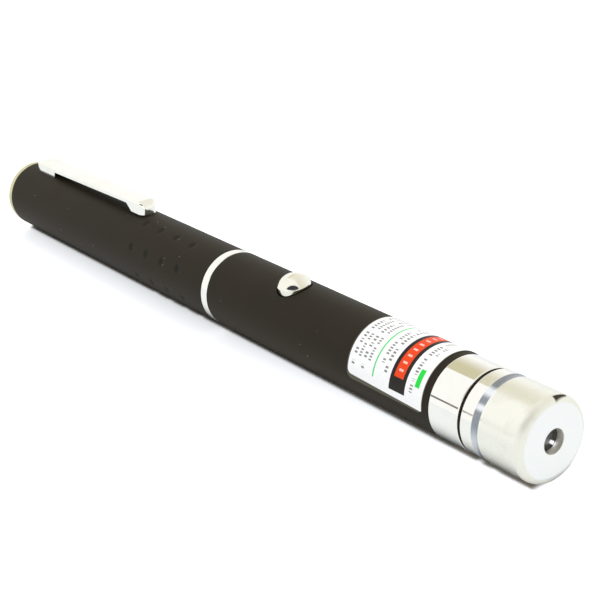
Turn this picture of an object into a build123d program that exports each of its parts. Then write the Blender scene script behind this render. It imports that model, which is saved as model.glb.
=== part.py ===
from build123d import *
import math
import os

os.makedirs("parts", exist_ok=True)

# A pocket laser pointer that holds two AAA cells, lying along X with its head at +X.
# All sizes are millimetres, and all turns are degrees.

# The stack of outside pieces, from the tail to the head
body_diameter = 14.2
tail_rim_length = 1.4
ring_length = 2.0
front_barrel_length = 61.0
nose_length = 6.5
groove_length = 0.45
cap_length = 12.85

# Fits and shared small sizes
running_clearance = 0.05
touch_gap = 0.1
edge_break = 0.15
overrun = 1.0

# Tubes
front_wall = 1.1
cell_bore_diameter = 11.2
joint_thread_diameter = 12.3
joint_thread_length = 9.0
joint_thread_relief = 0.4
joint_bore_diameter = 11.0
joint_spigot_length = 5.0

# Grip dimples in rows along the rear tube
dimple_diameter = 1.8
dimple_depth = 0.15
dimple_pitch = 5.5
dimple_count = 4
dimple_first_to_ring = 8.5
dimple_rows = 8
dimple_row_turn = 12.0
dimple_row_shift_shares = [0.0, 0.0, 0.25, 0.25]

# Tail cap and its spring
tail_wall = 1.5
tail_spigot_length = 2.0
tail_spigot_wall = 0.7
spring_wire = 0.6
tail_spring_length = 2.2
tail_spring_base_diameter = 8.6
tail_spring_tip_diameter = 5.4
tail_spring_turns = 2.25

# Pocket clip, bent from sheet into a channel
clip_turn = 9.5
clip_width = 3.9
clip_sheet = 0.45
clip_rear_to_tail = 6.1
clip_base_length = 7.7
clip_arm_length = 35.9
clip_base_height = 2.2
clip_tip_height = 2.9
clip_side_height = 1.05
clip_tip_length = 5.9
clip_tip_slope_length = 1.7
clip_tip_gap = 0.3
clip_tip_low_gap = 0.05
clip_front_rounding = 0.9

# AAA cells
cell_diameter = 10.5
cell_length = 44.0
cell_sleeve_wall = 0.1
cell_can_wall = 0.3
cell_nub_height = 1.3
cell_recess = 0.5
cell_rim = 0.5
cell_flange_diameter = 6.4
cell_flange_thickness = 0.4
cell_nub_diameter = 3.8

# Push button and the switch under it
button_to_ring = 21.6
button_diameter = 6.0
button_hole_gap = 0.2
button_proud = 2.1
button_dome_height = 1.7
button_flange_diameter = 7.2
button_flange_height = 4.0
button_flange_thickness = 0.6
button_travel = 0.4
board_top_height = -0.4
switch_side = 6.0
switch_body_height = 3.4
switch_cover_thickness = 0.2
plunger_diameter = 3.5
plunger_depth = 1.2
plunger_guide_gap = 0.1
switch_pin_width = 0.7
switch_pin_thickness = 0.3
switch_pin_foot = 0.9
switch_pin_spread = 4.5

# Driver board and what stands on it
board_length = 21.2
board_width = 10.4
board_thickness = 1.0
chip_length = 5.0
chip_width = 3.9
chip_height = 1.5
chip_leg_count = 4
chip_leg_pitch = 1.27
chip_leg_width = 0.4
chip_leg_reach = 1.0
chip_leg_thickness = 0.2
chip_to_board_front = 5.6
trimmer_side = 3.6
trimmer_height = 1.4
trimmer_dial_diameter = 2.6
trimmer_dial_height = 0.5
trimmer_slot_width = 0.5
trimmer_to_board_front = 10.8
capacitor_length = 3.5
capacitor_width = 2.8
capacitor_height = 1.9
resistor_length = 2.0
resistor_width = 1.25
resistor_height = 0.5
resistor_count = 3
resistor_pitch = 2.6
transistor_length = 2.9
transistor_width = 1.3
transistor_height = 1.1
transistor_leg_reach = 0.6
transistor_leg_width = 0.4
transistor_leg_pitch = 0.95
transistor_edge_gap = 0.3

# Contacts of the battery bay
carrier_thickness = 1.2
contact_room = 2.0
contact_wire = 0.5
contact_spring_diameter = 6.4
contact_spring_tip_diameter = 3.0
contact_spring_turns = 1.75
tab_width = 2.4
tab_thickness = 0.3
tab_foot_length = 3.0
tab_leg_run = 5.0
tab_pad_length = 2.0
tab_to_board_rear = 4.0

# Laser module
housing_diameter = 11.8
housing_rear_gap = 0.6
diode_flange_diameter = 5.6
diode_flange_thickness = 1.2
diode_cap_diameter = 3.8
diode_cap_height = 2.4
diode_cap_wall = 0.3
diode_window_diameter = 1.6
diode_pocket_gap = 0.3
lead_diameter = 0.45
lead_length = 2.6
lead_spread = 2.0
crystal_pocket_diameter = 7.0
crystal_pocket_length = 5.0
crystal_mount_length = 3.6
crystal_side = 1.4
crystal_length = 2.6
filter_diameter = 6.4
filter_thickness = 0.7
lens_bore_diameter = 8.4
lens_barrel_recess = 4.8
lens_barrel_seat = 0.8
expander_diameter = 4.0
expander_edge = 0.8
expander_crown = 0.35
expander_stop_diameter = 2.4
expander_wall = 0.8
collimator_diameter = 7.0
collimator_edge = 1.2
collimator_crown = 0.7
collimator_lip_diameter = 5.6
lock_ring_length = 1.1
lock_ring_bore = 5.2
lock_slot_width = 0.8
lock_slot_depth = 0.5

# Front cap
cap_thread_length = 5.55
cap_front_wall = 1.5
cap_window_seat = 0.9
cap_cavity_diameter = 10.4
cap_edge_rounding = 1.35
cap_band_start = 2.5
cap_band_length = 1.55
cap_band_depth = 0.12
aperture_diameter = 4.1
aperture_chamfer = 0.2
window_diameter = 6.8
window_thickness = 0.8
window_gap = 0.05

# Label
label_length = 18.4
label_to_barrel_front = 1.35
label_half_span = 88.5
label_thickness = 0.1
label_corner = 1.2

# Nose ring
nose_spigot_length = 3.0

# The rear tube is as long as the cells, their springs and the contacts behind the button need
cells_length = 2 * cell_length
tail_reach = tail_wall - tail_rim_length + tail_spring_length
carrier_to_button = carrier_thickness + switch_pin_foot + switch_side / 2
rear_tube_length = tail_reach + cells_length + contact_room + carrier_to_button - button_to_ring
cell_can_length = cell_length - cell_nub_height

# Places worked out from the sizes above
body_radius = body_diameter / 2
axis_height = body_radius
overall_length = (tail_rim_length + rear_tube_length + ring_length + front_barrel_length
                  + nose_length + groove_length + cap_length)
tail_x = -overall_length / 2
rear_tube_start = tail_x + tail_rim_length
ring_start = rear_tube_start + rear_tube_length
barrel_start = ring_start + ring_length
nose_start = barrel_start + front_barrel_length
nose_end = nose_start + nose_length
cap_start = nose_end + groove_length
cap_end = cap_start + cap_length
front_bore_radius = body_radius - front_wall
cell_bore_radius = cell_bore_diameter / 2
joint_thread_radius = joint_thread_diameter / 2
joint_bore_radius = joint_bore_diameter / 2
button_x = ring_start + button_to_ring

pen_axis = Axis((0, 0, axis_height), (1, 0, 0))
side_plane = Plane(origin=(0, 0, axis_height), x_dir=(1, 0, 0), z_dir=(0, -1, 0))


def cross_plane(x):
    """The plane square to the pen at x: sketches in it are (across, above the axis)."""
    return Plane(origin=(x, 0, axis_height), x_dir=(0, 1, 0), z_dir=(1, 0, 0))


def level_plane(height):
    """The level plane at a height above the pen's axis: sketches in it are (along, across)."""
    return Plane(origin=(0, 0, axis_height + height), x_dir=(1, 0, 0), z_dir=(0, 0, 1))


def turned(points, mode=Mode.ADD):
    """Turn a closed outline of (place along the pen, radius) round the pen's axis."""
    with BuildSketch(side_plane) as outline:
        with BuildLine():
            Polyline(*points, close=True)
        make_face()
    revolve(outline.sketch, axis=pen_axis, mode=mode)


def tube(start, end, outer, inner):
    """A plain tube round the pen's axis, given by its radii."""
    turned([(start, inner), (start, outer), (end, outer), (end, inner)])


def bore(start, end, radius):
    """A round hole along the pen's axis."""
    turned([(start, 0), (start, radius), (end, radius), (end, 0)], mode=Mode.SUBTRACT)


def block(middle, across, length, width, low, high, mode=Mode.ADD):
    """A box that stands on a level plane, low and high above the pen's axis."""
    with BuildSketch(level_plane(low)) as base:
        with Locations((middle, across)):
            Rectangle(length, width)
    extrude(base.sketch, amount=high - low, mode=mode)


def post(middle, across, radius, low, high, mode=Mode.ADD):
    """An upright round post or, cut away, an upright hole."""
    with BuildSketch(level_plane(low)) as base:
        with Locations((middle, across)):
            Circle(radius)
    extrude(base.sketch, amount=high - low, mode=mode)


def coil_state(start, end, start_radius, end_radius, turns, share):
    """Place and direction on a cone-shaped helix round the pen's axis at a share of its run."""
    angle = 2 * math.pi * turns * share
    radius = start_radius + (end_radius - start_radius) * share
    along = start + (end - start) * share
    place = Vector(along, radius * math.cos(angle), axis_height + radius * math.sin(angle))
    swing = 2 * math.pi * turns * radius
    shrink = end_radius - start_radius
    direction = Vector(
        end - start,
        shrink * math.cos(angle) - swing * math.sin(angle),
        shrink * math.sin(angle) + swing * math.cos(angle),
    )
    return place, direction.normalized()


def coil(start, end, start_radius, end_radius, turns, wire, name):
    """One unbroken wire swept on pairs of tangent arcs, a pair for each quarter turn."""
    steps = round(4 * turns)
    states = [coil_state(start, end, start_radius, end_radius, turns, i / steps) for i in range(steps + 1)]
    with BuildLine() as path:
        for (near, leaving), (far, arriving) in zip(states, states[1:]):
            span = far - near
            reach = span.dot(leaving + arriving)
            bend = 2 * (1 - leaving.dot(arriving))
            arm = (-reach + math.sqrt(reach**2 + bend * span.dot(span))) / bend
            knee = near + leaving * arm
            heel = far - arriving * arm
            meeting = (knee + heel) * 0.5
            TangentArc(near, meeting, tangent=leaving)
            TangentArc(meeting, far, tangent=heel - knee)
    first_place, first_direction = states[0]
    with BuildSketch(Plane(origin=first_place, z_dir=first_direction)) as section:
        Circle(wire / 2)
    sweep(section.sketch, path=path.wire())
    samples = 48
    count = round(samples * turns)
    places = [coil_state(start, end, start_radius, end_radius, turns, i / count)[0] for i in range(count + 1)]
    gaps = [
        (places[i] - places[j]).length - wire
        for i in range(count + 1)
        for j in range(i + samples // 2, count + 1)
    ]
    print(name, "least gap of the wire to itself", round(min(gaps), 3), "mm")


# Rear tube: holds the cells, and carries the grip dimples
thread_bore_radius = joint_thread_radius + running_clearance
thread_bore_start = ring_start - joint_thread_length - joint_thread_relief
with BuildPart() as rear_tube:
    turned([
        (rear_tube_start, cell_bore_radius),
        (rear_tube_start, body_radius - edge_break),
        (rear_tube_start + edge_break, body_radius),
        (ring_start - edge_break, body_radius),
        (ring_start, body_radius - edge_break),
        (ring_start, thread_bore_radius),
        (thread_bore_start, thread_bore_radius),
        (thread_bore_start, cell_bore_radius),
    ])
    dimple_radius = dimple_diameter / 2
    ball_radius = (dimple_radius**2 + dimple_depth**2) / (2 * dimple_depth)
    ball_reach = body_radius + ball_radius - dimple_depth
    for row in range(dimple_rows):
        angle = math.radians(dimple_row_turn + row * 360 / dimple_rows)
        shift = dimple_row_shift_shares[row % len(dimple_row_shift_shares)] * dimple_pitch
        for place in range(dimple_count):
            x = ring_start - dimple_first_to_ring - place * dimple_pitch + shift
            y = -ball_reach * math.sin(angle)
            z = axis_height + ball_reach * math.cos(angle)
            with Locations((x, y, z)):
                Sphere(ball_radius, mode=Mode.SUBTRACT)
rear_tube.part.label = "rear_tube"
export_step(rear_tube.part, "parts/rear_tube.step")

# Tail cap: a turned cup pressed into the end of the rear tube
tail_floor = tail_x + tail_wall
tail_spigot_end = rear_tube_start + tail_spigot_length
tail_cup_radius = cell_bore_radius - tail_spigot_wall
with BuildPart() as tail_cap:
    turned([
        (tail_x, 0),
        (tail_x, body_radius - edge_break),
        (tail_x + edge_break, body_radius),
        (rear_tube_start, body_radius),
        (rear_tube_start, cell_bore_radius),
        (tail_spigot_end, cell_bore_radius),
        (tail_spigot_end, tail_cup_radius),
        (tail_floor, tail_cup_radius),
        (tail_floor, 0),
    ])
tail_cap.part.label = "tail_cap"
export_step(tail_cap.part, "parts/tail_cap.step")

# Tail spring: stands on the floor of the tail cap and presses the cells forward
rear_cell_start = tail_floor + tail_spring_length
with BuildPart() as tail_spring:
    coil(
        tail_floor + spring_wire / 2,
        rear_cell_start - touch_gap - spring_wire / 2,
        tail_spring_base_diameter / 2,
        tail_spring_tip_diameter / 2,
        tail_spring_turns,
        spring_wire,
        "tail_spring",
    )
tail_spring.part.label = "tail_spring"
export_step(tail_spring.part, "parts/tail_spring.step")

# The clip stands a little round from the button, where the joint's thread comes tight
clip_angle = math.radians(clip_turn)
clip_plane = Plane(
    origin=(0, 0, axis_height), x_dir=(1, 0, 0), z_dir=(0, -math.cos(clip_angle), math.sin(clip_angle))
)
clip_rear = tail_x + clip_rear_to_tail
clip_bend = clip_rear + clip_base_length
clip_front = clip_bend + clip_arm_length
clip_base_top = body_radius + clip_base_height
clip_tip_top = body_radius + clip_tip_height
clip_hollow_width = clip_width - 2 * clip_sheet

# Clip base: the rear end of the clip, a closed box seated on the tube
with BuildPart() as clip_base:
    with BuildSketch(clip_plane):
        with BuildLine():
            Polyline(
                (clip_rear, body_radius - clip_sheet),
                (clip_rear, clip_base_top),
                (clip_bend, clip_base_top),
                (clip_bend, body_radius - clip_sheet),
                close=True,
            )
        make_face()
    extrude(amount=clip_width / 2, both=True)
    with BuildSketch(clip_plane):
        with BuildLine():
            Polyline(
                (clip_rear + clip_sheet, body_radius + clip_sheet),
                (clip_rear + clip_sheet, clip_base_top - clip_sheet),
                (clip_bend + overrun, clip_base_top - clip_sheet),
                (clip_bend + overrun, body_radius + clip_sheet),
                close=True,
            )
        make_face()
    extrude(amount=clip_hollow_width / 2, both=True, mode=Mode.SUBTRACT)
    bore(clip_rear - overrun, clip_bend + overrun, body_radius)
clip_base.part.label = "clip_base"
export_step(clip_base.part, "parts/clip_base.step")

# Clip arm: the channel that springs away from the tube, with a lowered, closed tip
tip_low = body_radius + clip_tip_low_gap
tip_start = clip_front - clip_tip_length
top_rise_share = (tip_start - clip_bend) / clip_arm_length
tip_start_top = clip_base_top + (clip_tip_top - clip_base_top) * top_rise_share
with BuildPart() as clip_arm:
    with BuildSketch(clip_plane) as arm_side:
        with BuildLine():
            Polyline(
                (clip_bend, clip_base_top - clip_side_height),
                (clip_bend, clip_base_top),
                (clip_front, clip_tip_top),
                (clip_front, tip_low),
                (tip_start + clip_tip_slope_length, tip_low),
                (tip_start, tip_start_top - clip_side_height),
                close=True,
            )
        make_face()
        fillet(arm_side.vertices().sort_by(Axis.X)[-2:], radius=clip_front_rounding)
    extrude(amount=clip_width / 2, both=True)
    with BuildSketch(clip_plane):
        with BuildLine():
            Polyline(
                (clip_bend - overrun, body_radius - overrun),
                (clip_bend - overrun, clip_base_top - clip_sheet),
                (clip_bend, clip_base_top - clip_sheet),
                (clip_front - clip_sheet, clip_tip_top - clip_sheet),
                (clip_front - clip_sheet, body_radius - overrun),
                close=True,
            )
        make_face()
    extrude(amount=clip_hollow_width / 2, both=True, mode=Mode.SUBTRACT)
    bore(clip_bend - overrun, clip_front + overrun, body_radius + clip_tip_gap)
clip_arm.part.label = "clip_arm"
export_step(clip_arm.part, "parts/clip_arm.step")

# Joint ring: the bright flange between the tubes, its thread and its spigot
thread_end = ring_start - joint_thread_length
joint_spigot_end = barrel_start + joint_spigot_length
with BuildPart() as joint_ring:
    turned([
        (thread_end, joint_bore_radius),
        (thread_end, joint_thread_radius - edge_break),
        (thread_end + edge_break, joint_thread_radius),
        (ring_start, joint_thread_radius),
        (ring_start, body_radius - edge_break),
        (ring_start + edge_break, body_radius),
        (barrel_start - edge_break, body_radius),
        (barrel_start, body_radius - edge_break),
        (barrel_start, front_bore_radius),
        (joint_spigot_end, front_bore_radius),
        (joint_spigot_end, joint_bore_radius),
    ])
joint_ring.part.label = "joint_ring"
export_step(joint_ring.part, "parts/joint_ring.step")

# Front barrel: a tube with the round hole that the button comes through
with BuildPart() as front_barrel:
    tube(barrel_start, nose_start, body_radius, front_bore_radius)
    post(button_x, 0, button_diameter / 2 + button_hole_gap, 0, body_radius + overrun, mode=Mode.SUBTRACT)
front_barrel.part.label = "front_barrel"
export_step(front_barrel.part, "parts/front_barrel.step")

# Label: a thin sticker wrapped over the top of the barrel, with rounded corners
label_end = nose_start - label_to_barrel_front
label_start = label_end - label_length
label_radius = body_radius + label_thickness
label_low_angle = 90 - label_half_span
with BuildPart() as label:
    with BuildSketch(cross_plane(label_start)):
        with BuildLine():
            outer_arc = CenterArc((0, 0), label_radius, label_low_angle, 2 * label_half_span)
            inner_arc = CenterArc((0, 0), body_radius, label_low_angle, 2 * label_half_span)
            Line(outer_arc @ 0, inner_arc @ 0)
            Line(outer_arc @ 1, inner_arc @ 1)
        make_face()
    extrude(amount=label_length)
    for side in (-1, 1):
        angle = math.radians(side * label_half_span)
        outward = (0, math.sin(angle), math.cos(angle))
        for end, x in ((-1, label_start), (1, label_end)):
            corner = (x, body_radius * outward[1], axis_height + body_radius * outward[2])
            with BuildSketch(Plane(origin=corner, x_dir=(1, 0, 0), z_dir=outward)):
                with Locations((end * (overrun - label_corner) / 2, side * (overrun - label_corner) / 2)):
                    Rectangle(label_corner + overrun, label_corner + overrun)
                with Locations((-end * label_corner, -side * label_corner)):
                    Circle(label_corner, mode=Mode.SUBTRACT)
            extrude(amount=overrun / 2, both=True, mode=Mode.SUBTRACT)
label.part.label = "label"
export_step(label.part, "parts/label.step")

# Button: a bright domed cap, kept in by a flange under the barrel's wall
button_top = body_radius + button_proud
button_rim_height = button_top - button_dome_height
button_radius = button_diameter / 2
with BuildPart() as button_cap:
    with BuildSketch(side_plane.shift_origin((button_x, 0, axis_height))):
        with BuildLine():
            Polyline(
                (0, button_top),
                (0, button_flange_height),
                (button_flange_diameter / 2, button_flange_height),
                (button_flange_diameter / 2, button_flange_height + button_flange_thickness),
                (button_radius, button_flange_height + button_flange_thickness),
                (button_radius, button_rim_height),
            )
            TangentArc((0, button_top), (button_radius, button_rim_height), tangent=(1, 0))
        make_face()
    revolve(axis=Axis((button_x, 0, 0), (0, 0, 1)))
button_cap.part.label = "button_cap"
export_step(button_cap.part, "parts/button_cap.step")

# Driver board: carries the switch at its rear end and the laser's leads at its front end
board_rear = button_x - switch_side / 2 - switch_pin_foot
board_front = board_rear + board_length
board_middle = (board_rear + board_front) / 2
board_bottom_height = board_top_height - board_thickness
with BuildPart() as driver_board:
    block(board_middle, 0, board_length, board_width, board_bottom_height, board_top_height)
driver_board.part.label = "driver_board"
export_step(driver_board.part, "parts/driver_board.step")

# Switch: moulded base, steel cover, bent pins and the plunger that the button presses
switch_top_height = board_top_height + switch_body_height
cover_top_height = switch_top_height + switch_cover_thickness
plunger_radius = plunger_diameter / 2
guide_radius = plunger_radius + plunger_guide_gap
plunger_top_height = button_flange_height - running_clearance
plunger_low_height = switch_top_height - plunger_depth
with BuildPart() as switch_base:
    block(button_x, 0, switch_side, switch_side, board_top_height, switch_top_height)
    post(
        button_x, 0, guide_radius, plunger_low_height - button_travel - plunger_guide_gap,
        switch_top_height + overrun, mode=Mode.SUBTRACT,
    )
switch_base.part.label = "switch_base"
export_step(switch_base.part, "parts/switch_base.step")

with BuildPart() as switch_cover:
    block(button_x, 0, switch_side, switch_side, switch_top_height, cover_top_height)
    post(
        button_x, 0, guide_radius, switch_top_height - overrun,
        cover_top_height + overrun, mode=Mode.SUBTRACT,
    )
switch_cover.part.label = "switch_cover"
export_step(switch_cover.part, "parts/switch_cover.step")

with BuildPart() as switch_plunger:
    post(button_x, 0, plunger_radius, plunger_low_height, plunger_top_height)
switch_plunger.part.label = "switch_plunger"
export_step(switch_plunger.part, "parts/switch_plunger.step")

pin_top_height = board_top_height + switch_body_height / 2
with BuildPart() as switch_pins:
    for end in (-1, 1):
        wall_x = button_x + end * (switch_side + switch_pin_thickness) / 2
        foot_x = button_x + end * (switch_side + switch_pin_foot) / 2
        for side in (-1, 1):
            y = side * switch_pin_spread / 2
            block(wall_x, y, switch_pin_thickness, switch_pin_width, board_top_height, pin_top_height)
            block(
                foot_x, y, switch_pin_foot, switch_pin_width,
                board_top_height, board_top_height + switch_pin_thickness,
            )
switch_pins.part.label = "switch_pins"
export_step(switch_pins.part, "parts/switch_pins.step")

# Driver chip: a moulded body with a row of legs along each side
chip_x = board_front - chip_to_board_front
chip_leg_outer = chip_width / 2 + chip_leg_reach
with BuildPart() as driver_chip:
    block(chip_x, 0, chip_length, chip_width, board_top_height, board_top_height + chip_height)
    for leg in range(chip_leg_count):
        x = chip_x + (leg - (chip_leg_count - 1) / 2) * chip_leg_pitch
        block(
            x, 0, chip_leg_width, 2 * chip_leg_outer,
            board_top_height, board_top_height + chip_leg_thickness,
        )
driver_chip.part.label = "driver_chip"
export_step(driver_chip.part, "parts/driver_chip.step")

# Trimmer: sets the laser's current by a slotted dial
trimmer_x = board_front - trimmer_to_board_front
trimmer_top_height = board_top_height + trimmer_height
dial_top_height = trimmer_top_height + trimmer_dial_height
with BuildPart() as trimmer:
    block(trimmer_x, 0, trimmer_side, trimmer_side, board_top_height, trimmer_top_height)
    post(trimmer_x, 0, trimmer_dial_diameter / 2, trimmer_top_height, dial_top_height)
    block(
        trimmer_x, 0, trimmer_dial_diameter + overrun, trimmer_slot_width,
        dial_top_height - trimmer_dial_height / 2, dial_top_height + overrun, mode=Mode.SUBTRACT,
    )
trimmer.part.label = "trimmer"
export_step(trimmer.part, "parts/trimmer.step")

# Transistor: a small body with two legs on one side and one on the other
transistor_x = trimmer_x
transistor_y = transistor_edge_gap - (board_width - transistor_length) / 2
leg_top_height = board_top_height + transistor_leg_width
with BuildPart() as transistor:
    block(
        transistor_x, transistor_y, transistor_width, transistor_length,
        board_top_height, board_top_height + transistor_height,
    )
    for end, places in ((-1, (-1, 1)), (1, (0,))):
        leg_x = transistor_x + end * (transistor_width + transistor_leg_reach) / 2
        for place in places:
            leg_y = transistor_y + place * transistor_leg_pitch
            block(
                leg_x, leg_y, transistor_leg_reach, transistor_leg_width,
                board_top_height, leg_top_height,
            )
transistor.part.label = "transistor"
export_step(transistor.part, "parts/transistor.step")

# Capacitor and resistors on the underside of the board
with BuildPart() as capacitor:
    block(
        board_front - chip_to_board_front, 0, capacitor_length, capacitor_width,
        board_bottom_height - capacitor_height, board_bottom_height,
    )
capacitor.part.label = "capacitor"
export_step(capacitor.part, "parts/capacitor.step")

with BuildPart() as resistors:
    for place in range(resistor_count):
        block(
            trimmer_x, (place - (resistor_count - 1) / 2) * resistor_pitch, resistor_length, resistor_width,
            board_bottom_height - resistor_height, board_bottom_height,
        )
resistors.part.label = "resistors"
export_step(resistors.part, "parts/resistors.step")

# Contact carrier: an insulating disc that closes the battery bay behind the board
carrier_start = board_rear - carrier_thickness
with BuildPart() as contact_carrier:
    turned([
        (carrier_start, 0),
        (carrier_start, front_bore_radius),
        (board_rear, front_bore_radius),
        (board_rear, 0),
    ])
contact_carrier.part.label = "contact_carrier"
export_step(contact_carrier.part, "parts/contact_carrier.step")

# Cells: each has a can, its filling, a sealing ring, a terminal and a printed sleeve
front_cell_start = rear_cell_start + cell_length
can_radius = cell_diameter / 2 - cell_sleeve_wall
recess_radius = can_radius - cell_rim
core_radius = can_radius - cell_can_wall
nub_radius = cell_nub_diameter / 2
flange_radius = cell_flange_diameter / 2
for cell, start in (("rear_cell", rear_cell_start), ("front_cell", front_cell_start)):
    can_end = start + cell_can_length
    recess_floor = can_end - cell_recess
    core_start = start + cell_can_wall
    core_end = recess_floor - cell_can_wall
    flange_end = recess_floor + cell_flange_thickness

    with BuildPart() as cell_can:
        turned([
            (start, 0),
            (start, can_radius),
            (can_end, can_radius),
            (can_end, recess_radius),
            (recess_floor, recess_radius),
            (recess_floor, 0),
        ])
        bore(core_start, core_end, core_radius)
    cell_can.part.label = cell + "_can"
    export_step(cell_can.part, "parts/" + cell + "_can.step")

    with BuildPart() as cell_core:
        turned([(core_start, 0), (core_start, core_radius), (core_end, core_radius), (core_end, 0)])
    cell_core.part.label = cell + "_core"
    export_step(cell_core.part, "parts/" + cell + "_core.step")

    with BuildPart() as cell_sleeve:
        tube(start + cell_sleeve_wall, can_end, cell_diameter / 2, can_radius)
    cell_sleeve.part.label = cell + "_sleeve"
    export_step(cell_sleeve.part, "parts/" + cell + "_sleeve.step")

    with BuildPart() as cell_seal:
        tube(recess_floor, flange_end, recess_radius, flange_radius)
    cell_seal.part.label = cell + "_seal"
    export_step(cell_seal.part, "parts/" + cell + "_seal.step")

    with BuildPart() as cell_terminal:
        turned([
            (recess_floor, 0),
            (recess_floor, flange_radius),
            (flange_end, flange_radius),
            (flange_end, nub_radius),
            (start + cell_length, nub_radius),
            (start + cell_length, 0),
        ])
    cell_terminal.part.label = cell + "_terminal"
    export_step(cell_terminal.part, "parts/" + cell + "_terminal.step")

# Contact spring: from the carrier back to the front cell's terminal
cells_end = front_cell_start + cell_length
with BuildPart() as contact_spring:
    coil(
        carrier_start - contact_wire / 2,
        cells_end + touch_gap + contact_wire / 2,
        contact_spring_diameter / 2,
        contact_spring_tip_diameter / 2,
        contact_spring_turns,
        contact_wire,
        "contact_spring",
    )
contact_spring.part.label = "contact_spring"
export_step(contact_spring.part, "parts/contact_spring.step")

# Earth tab: a bent strip from the board's underside to the barrel's wall
tab_start = board_rear + tab_to_board_rear
tab_bend = tab_start + tab_foot_length
tab_land = tab_bend + tab_leg_run
tab_end = tab_land + tab_pad_length
tab_low = -math.sqrt(front_bore_radius**2 - (tab_width / 2) ** 2)
with BuildPart() as earth_tab:
    with BuildSketch(side_plane):
        with BuildLine():
            Polyline(
                (tab_start, board_bottom_height),
                (tab_bend, board_bottom_height),
                (tab_land, tab_low + tab_thickness),
                (tab_end, tab_low + tab_thickness),
                (tab_end, tab_low),
                (tab_land - tab_thickness / 2, tab_low),
                (tab_bend - tab_thickness / 2, board_bottom_height - tab_thickness),
                (tab_start, board_bottom_height - tab_thickness),
                close=True,
            )
        make_face()
    extrude(amount=tab_width / 2, both=True)
earth_tab.part.label = "earth_tab"
export_step(earth_tab.part, "parts/earth_tab.step")

# Module housing: the brass body that holds the diode, the crystal and the lenses in line
housing_radius = housing_diameter / 2
housing_start = board_front + housing_rear_gap
housing_end = cap_start + cap_thread_length
diode_pocket_end = housing_start + diode_flange_thickness
diode_clear_end = diode_pocket_end + diode_cap_height + diode_pocket_gap
crystal_pocket_end = diode_clear_end + crystal_pocket_length
lens_barrel_start = crystal_pocket_end + lens_barrel_seat
with BuildPart() as module_housing:
    turned([
        (housing_start, 0),
        (housing_start, housing_radius),
        (housing_end - edge_break, housing_radius),
        (housing_end, housing_radius - edge_break),
        (housing_end, 0),
    ])
    bore(housing_start - overrun, diode_pocket_end, diode_flange_diameter / 2)
    bore(housing_start, diode_clear_end, diode_cap_diameter / 2 + diode_pocket_gap)
    bore(diode_clear_end, crystal_pocket_end, crystal_pocket_diameter / 2)
    bore(crystal_pocket_end, housing_end + overrun, lens_bore_diameter / 2)
module_housing.part.label = "module_housing"
export_step(module_housing.part, "parts/module_housing.step")

# Pump diode: flange, windowed can and three leads to the board
with BuildPart() as pump_diode:
    turned([
        (housing_start, 0),
        (housing_start, diode_flange_diameter / 2),
        (diode_pocket_end, diode_flange_diameter / 2),
        (diode_pocket_end, 0),
    ])
pump_diode.part.label = "pump_diode"
export_step(pump_diode.part, "parts/pump_diode.step")

diode_cap_end = diode_pocket_end + diode_cap_height
with BuildPart() as diode_can:
    turned([
        (diode_pocket_end, 0),
        (diode_pocket_end, diode_cap_diameter / 2),
        (diode_cap_end, diode_cap_diameter / 2),
        (diode_cap_end, 0),
    ])
    bore(diode_pocket_end - overrun, diode_cap_end - diode_cap_wall, diode_cap_diameter / 2 - diode_cap_wall)
    bore(diode_pocket_end, diode_cap_end + overrun, diode_window_diameter / 2)
diode_can.part.label = "diode_can"
export_step(diode_can.part, "parts/diode_can.step")

lead_height = board_top_height + lead_diameter / 2
lead_places = [(-lead_spread / 2, lead_height), (lead_spread / 2, lead_height), (0, lead_spread / 2)]
with BuildPart() as diode_leads:
    with BuildSketch(cross_plane(housing_start)):
        with Locations(*lead_places):
            Circle(lead_diameter / 2)
    extrude(amount=-lead_length)
diode_leads.part.label = "diode_leads"
export_step(diode_leads.part, "parts/diode_leads.step")

# Crystal: a square rod in a brass mount, with a filter plate in front of it
mount_end = diode_clear_end + crystal_mount_length
crystal_start = diode_clear_end + (crystal_mount_length - crystal_length) / 2
with BuildPart() as crystal_mount:
    turned([
        (diode_clear_end, 0),
        (diode_clear_end, crystal_pocket_diameter / 2),
        (mount_end, crystal_pocket_diameter / 2),
        (mount_end, 0),
    ])
    with BuildSketch(cross_plane(diode_clear_end)):
        Rectangle(crystal_side, crystal_side)
    extrude(amount=crystal_mount_length, mode=Mode.SUBTRACT)
crystal_mount.part.label = "crystal_mount"
export_step(crystal_mount.part, "parts/crystal_mount.step")

with BuildPart() as laser_crystal:
    with BuildSketch(cross_plane(crystal_start)):
        Rectangle(crystal_side, crystal_side)
    extrude(amount=crystal_length)
laser_crystal.part.label = "laser_crystal"
export_step(laser_crystal.part, "parts/laser_crystal.step")

with BuildPart() as filter_plate:
    turned([
        (mount_end, 0),
        (mount_end, filter_diameter / 2),
        (mount_end + filter_thickness, filter_diameter / 2),
        (mount_end + filter_thickness, 0),
    ])
filter_plate.part.label = "filter_plate"
export_step(filter_plate.part, "parts/filter_plate.step")

# Lens barrel: screwed down the housing's bore, with a lens in each end
lens_barrel_end = housing_end - lens_barrel_recess
lens_barrel_radius = lens_bore_diameter / 2
expander_seat = lens_barrel_start + expander_edge + expander_crown
collimator_start = lens_barrel_end - lock_ring_length - collimator_edge
with BuildPart() as lens_barrel:
    turned([
        (lens_barrel_start, 0),
        (lens_barrel_start, lens_barrel_radius),
        (lens_barrel_end, lens_barrel_radius),
        (lens_barrel_end, 0),
    ])
    bore(lens_barrel_start - overrun, expander_seat, expander_diameter / 2)
    bore(lens_barrel_start, expander_seat + expander_wall, expander_stop_diameter / 2)
    bore(expander_seat + expander_wall, collimator_start, collimator_lip_diameter / 2)
    bore(collimator_start, lens_barrel_end + overrun, collimator_diameter / 2)
lens_barrel.part.label = "lens_barrel"
export_step(lens_barrel.part, "parts/lens_barrel.step")

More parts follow.
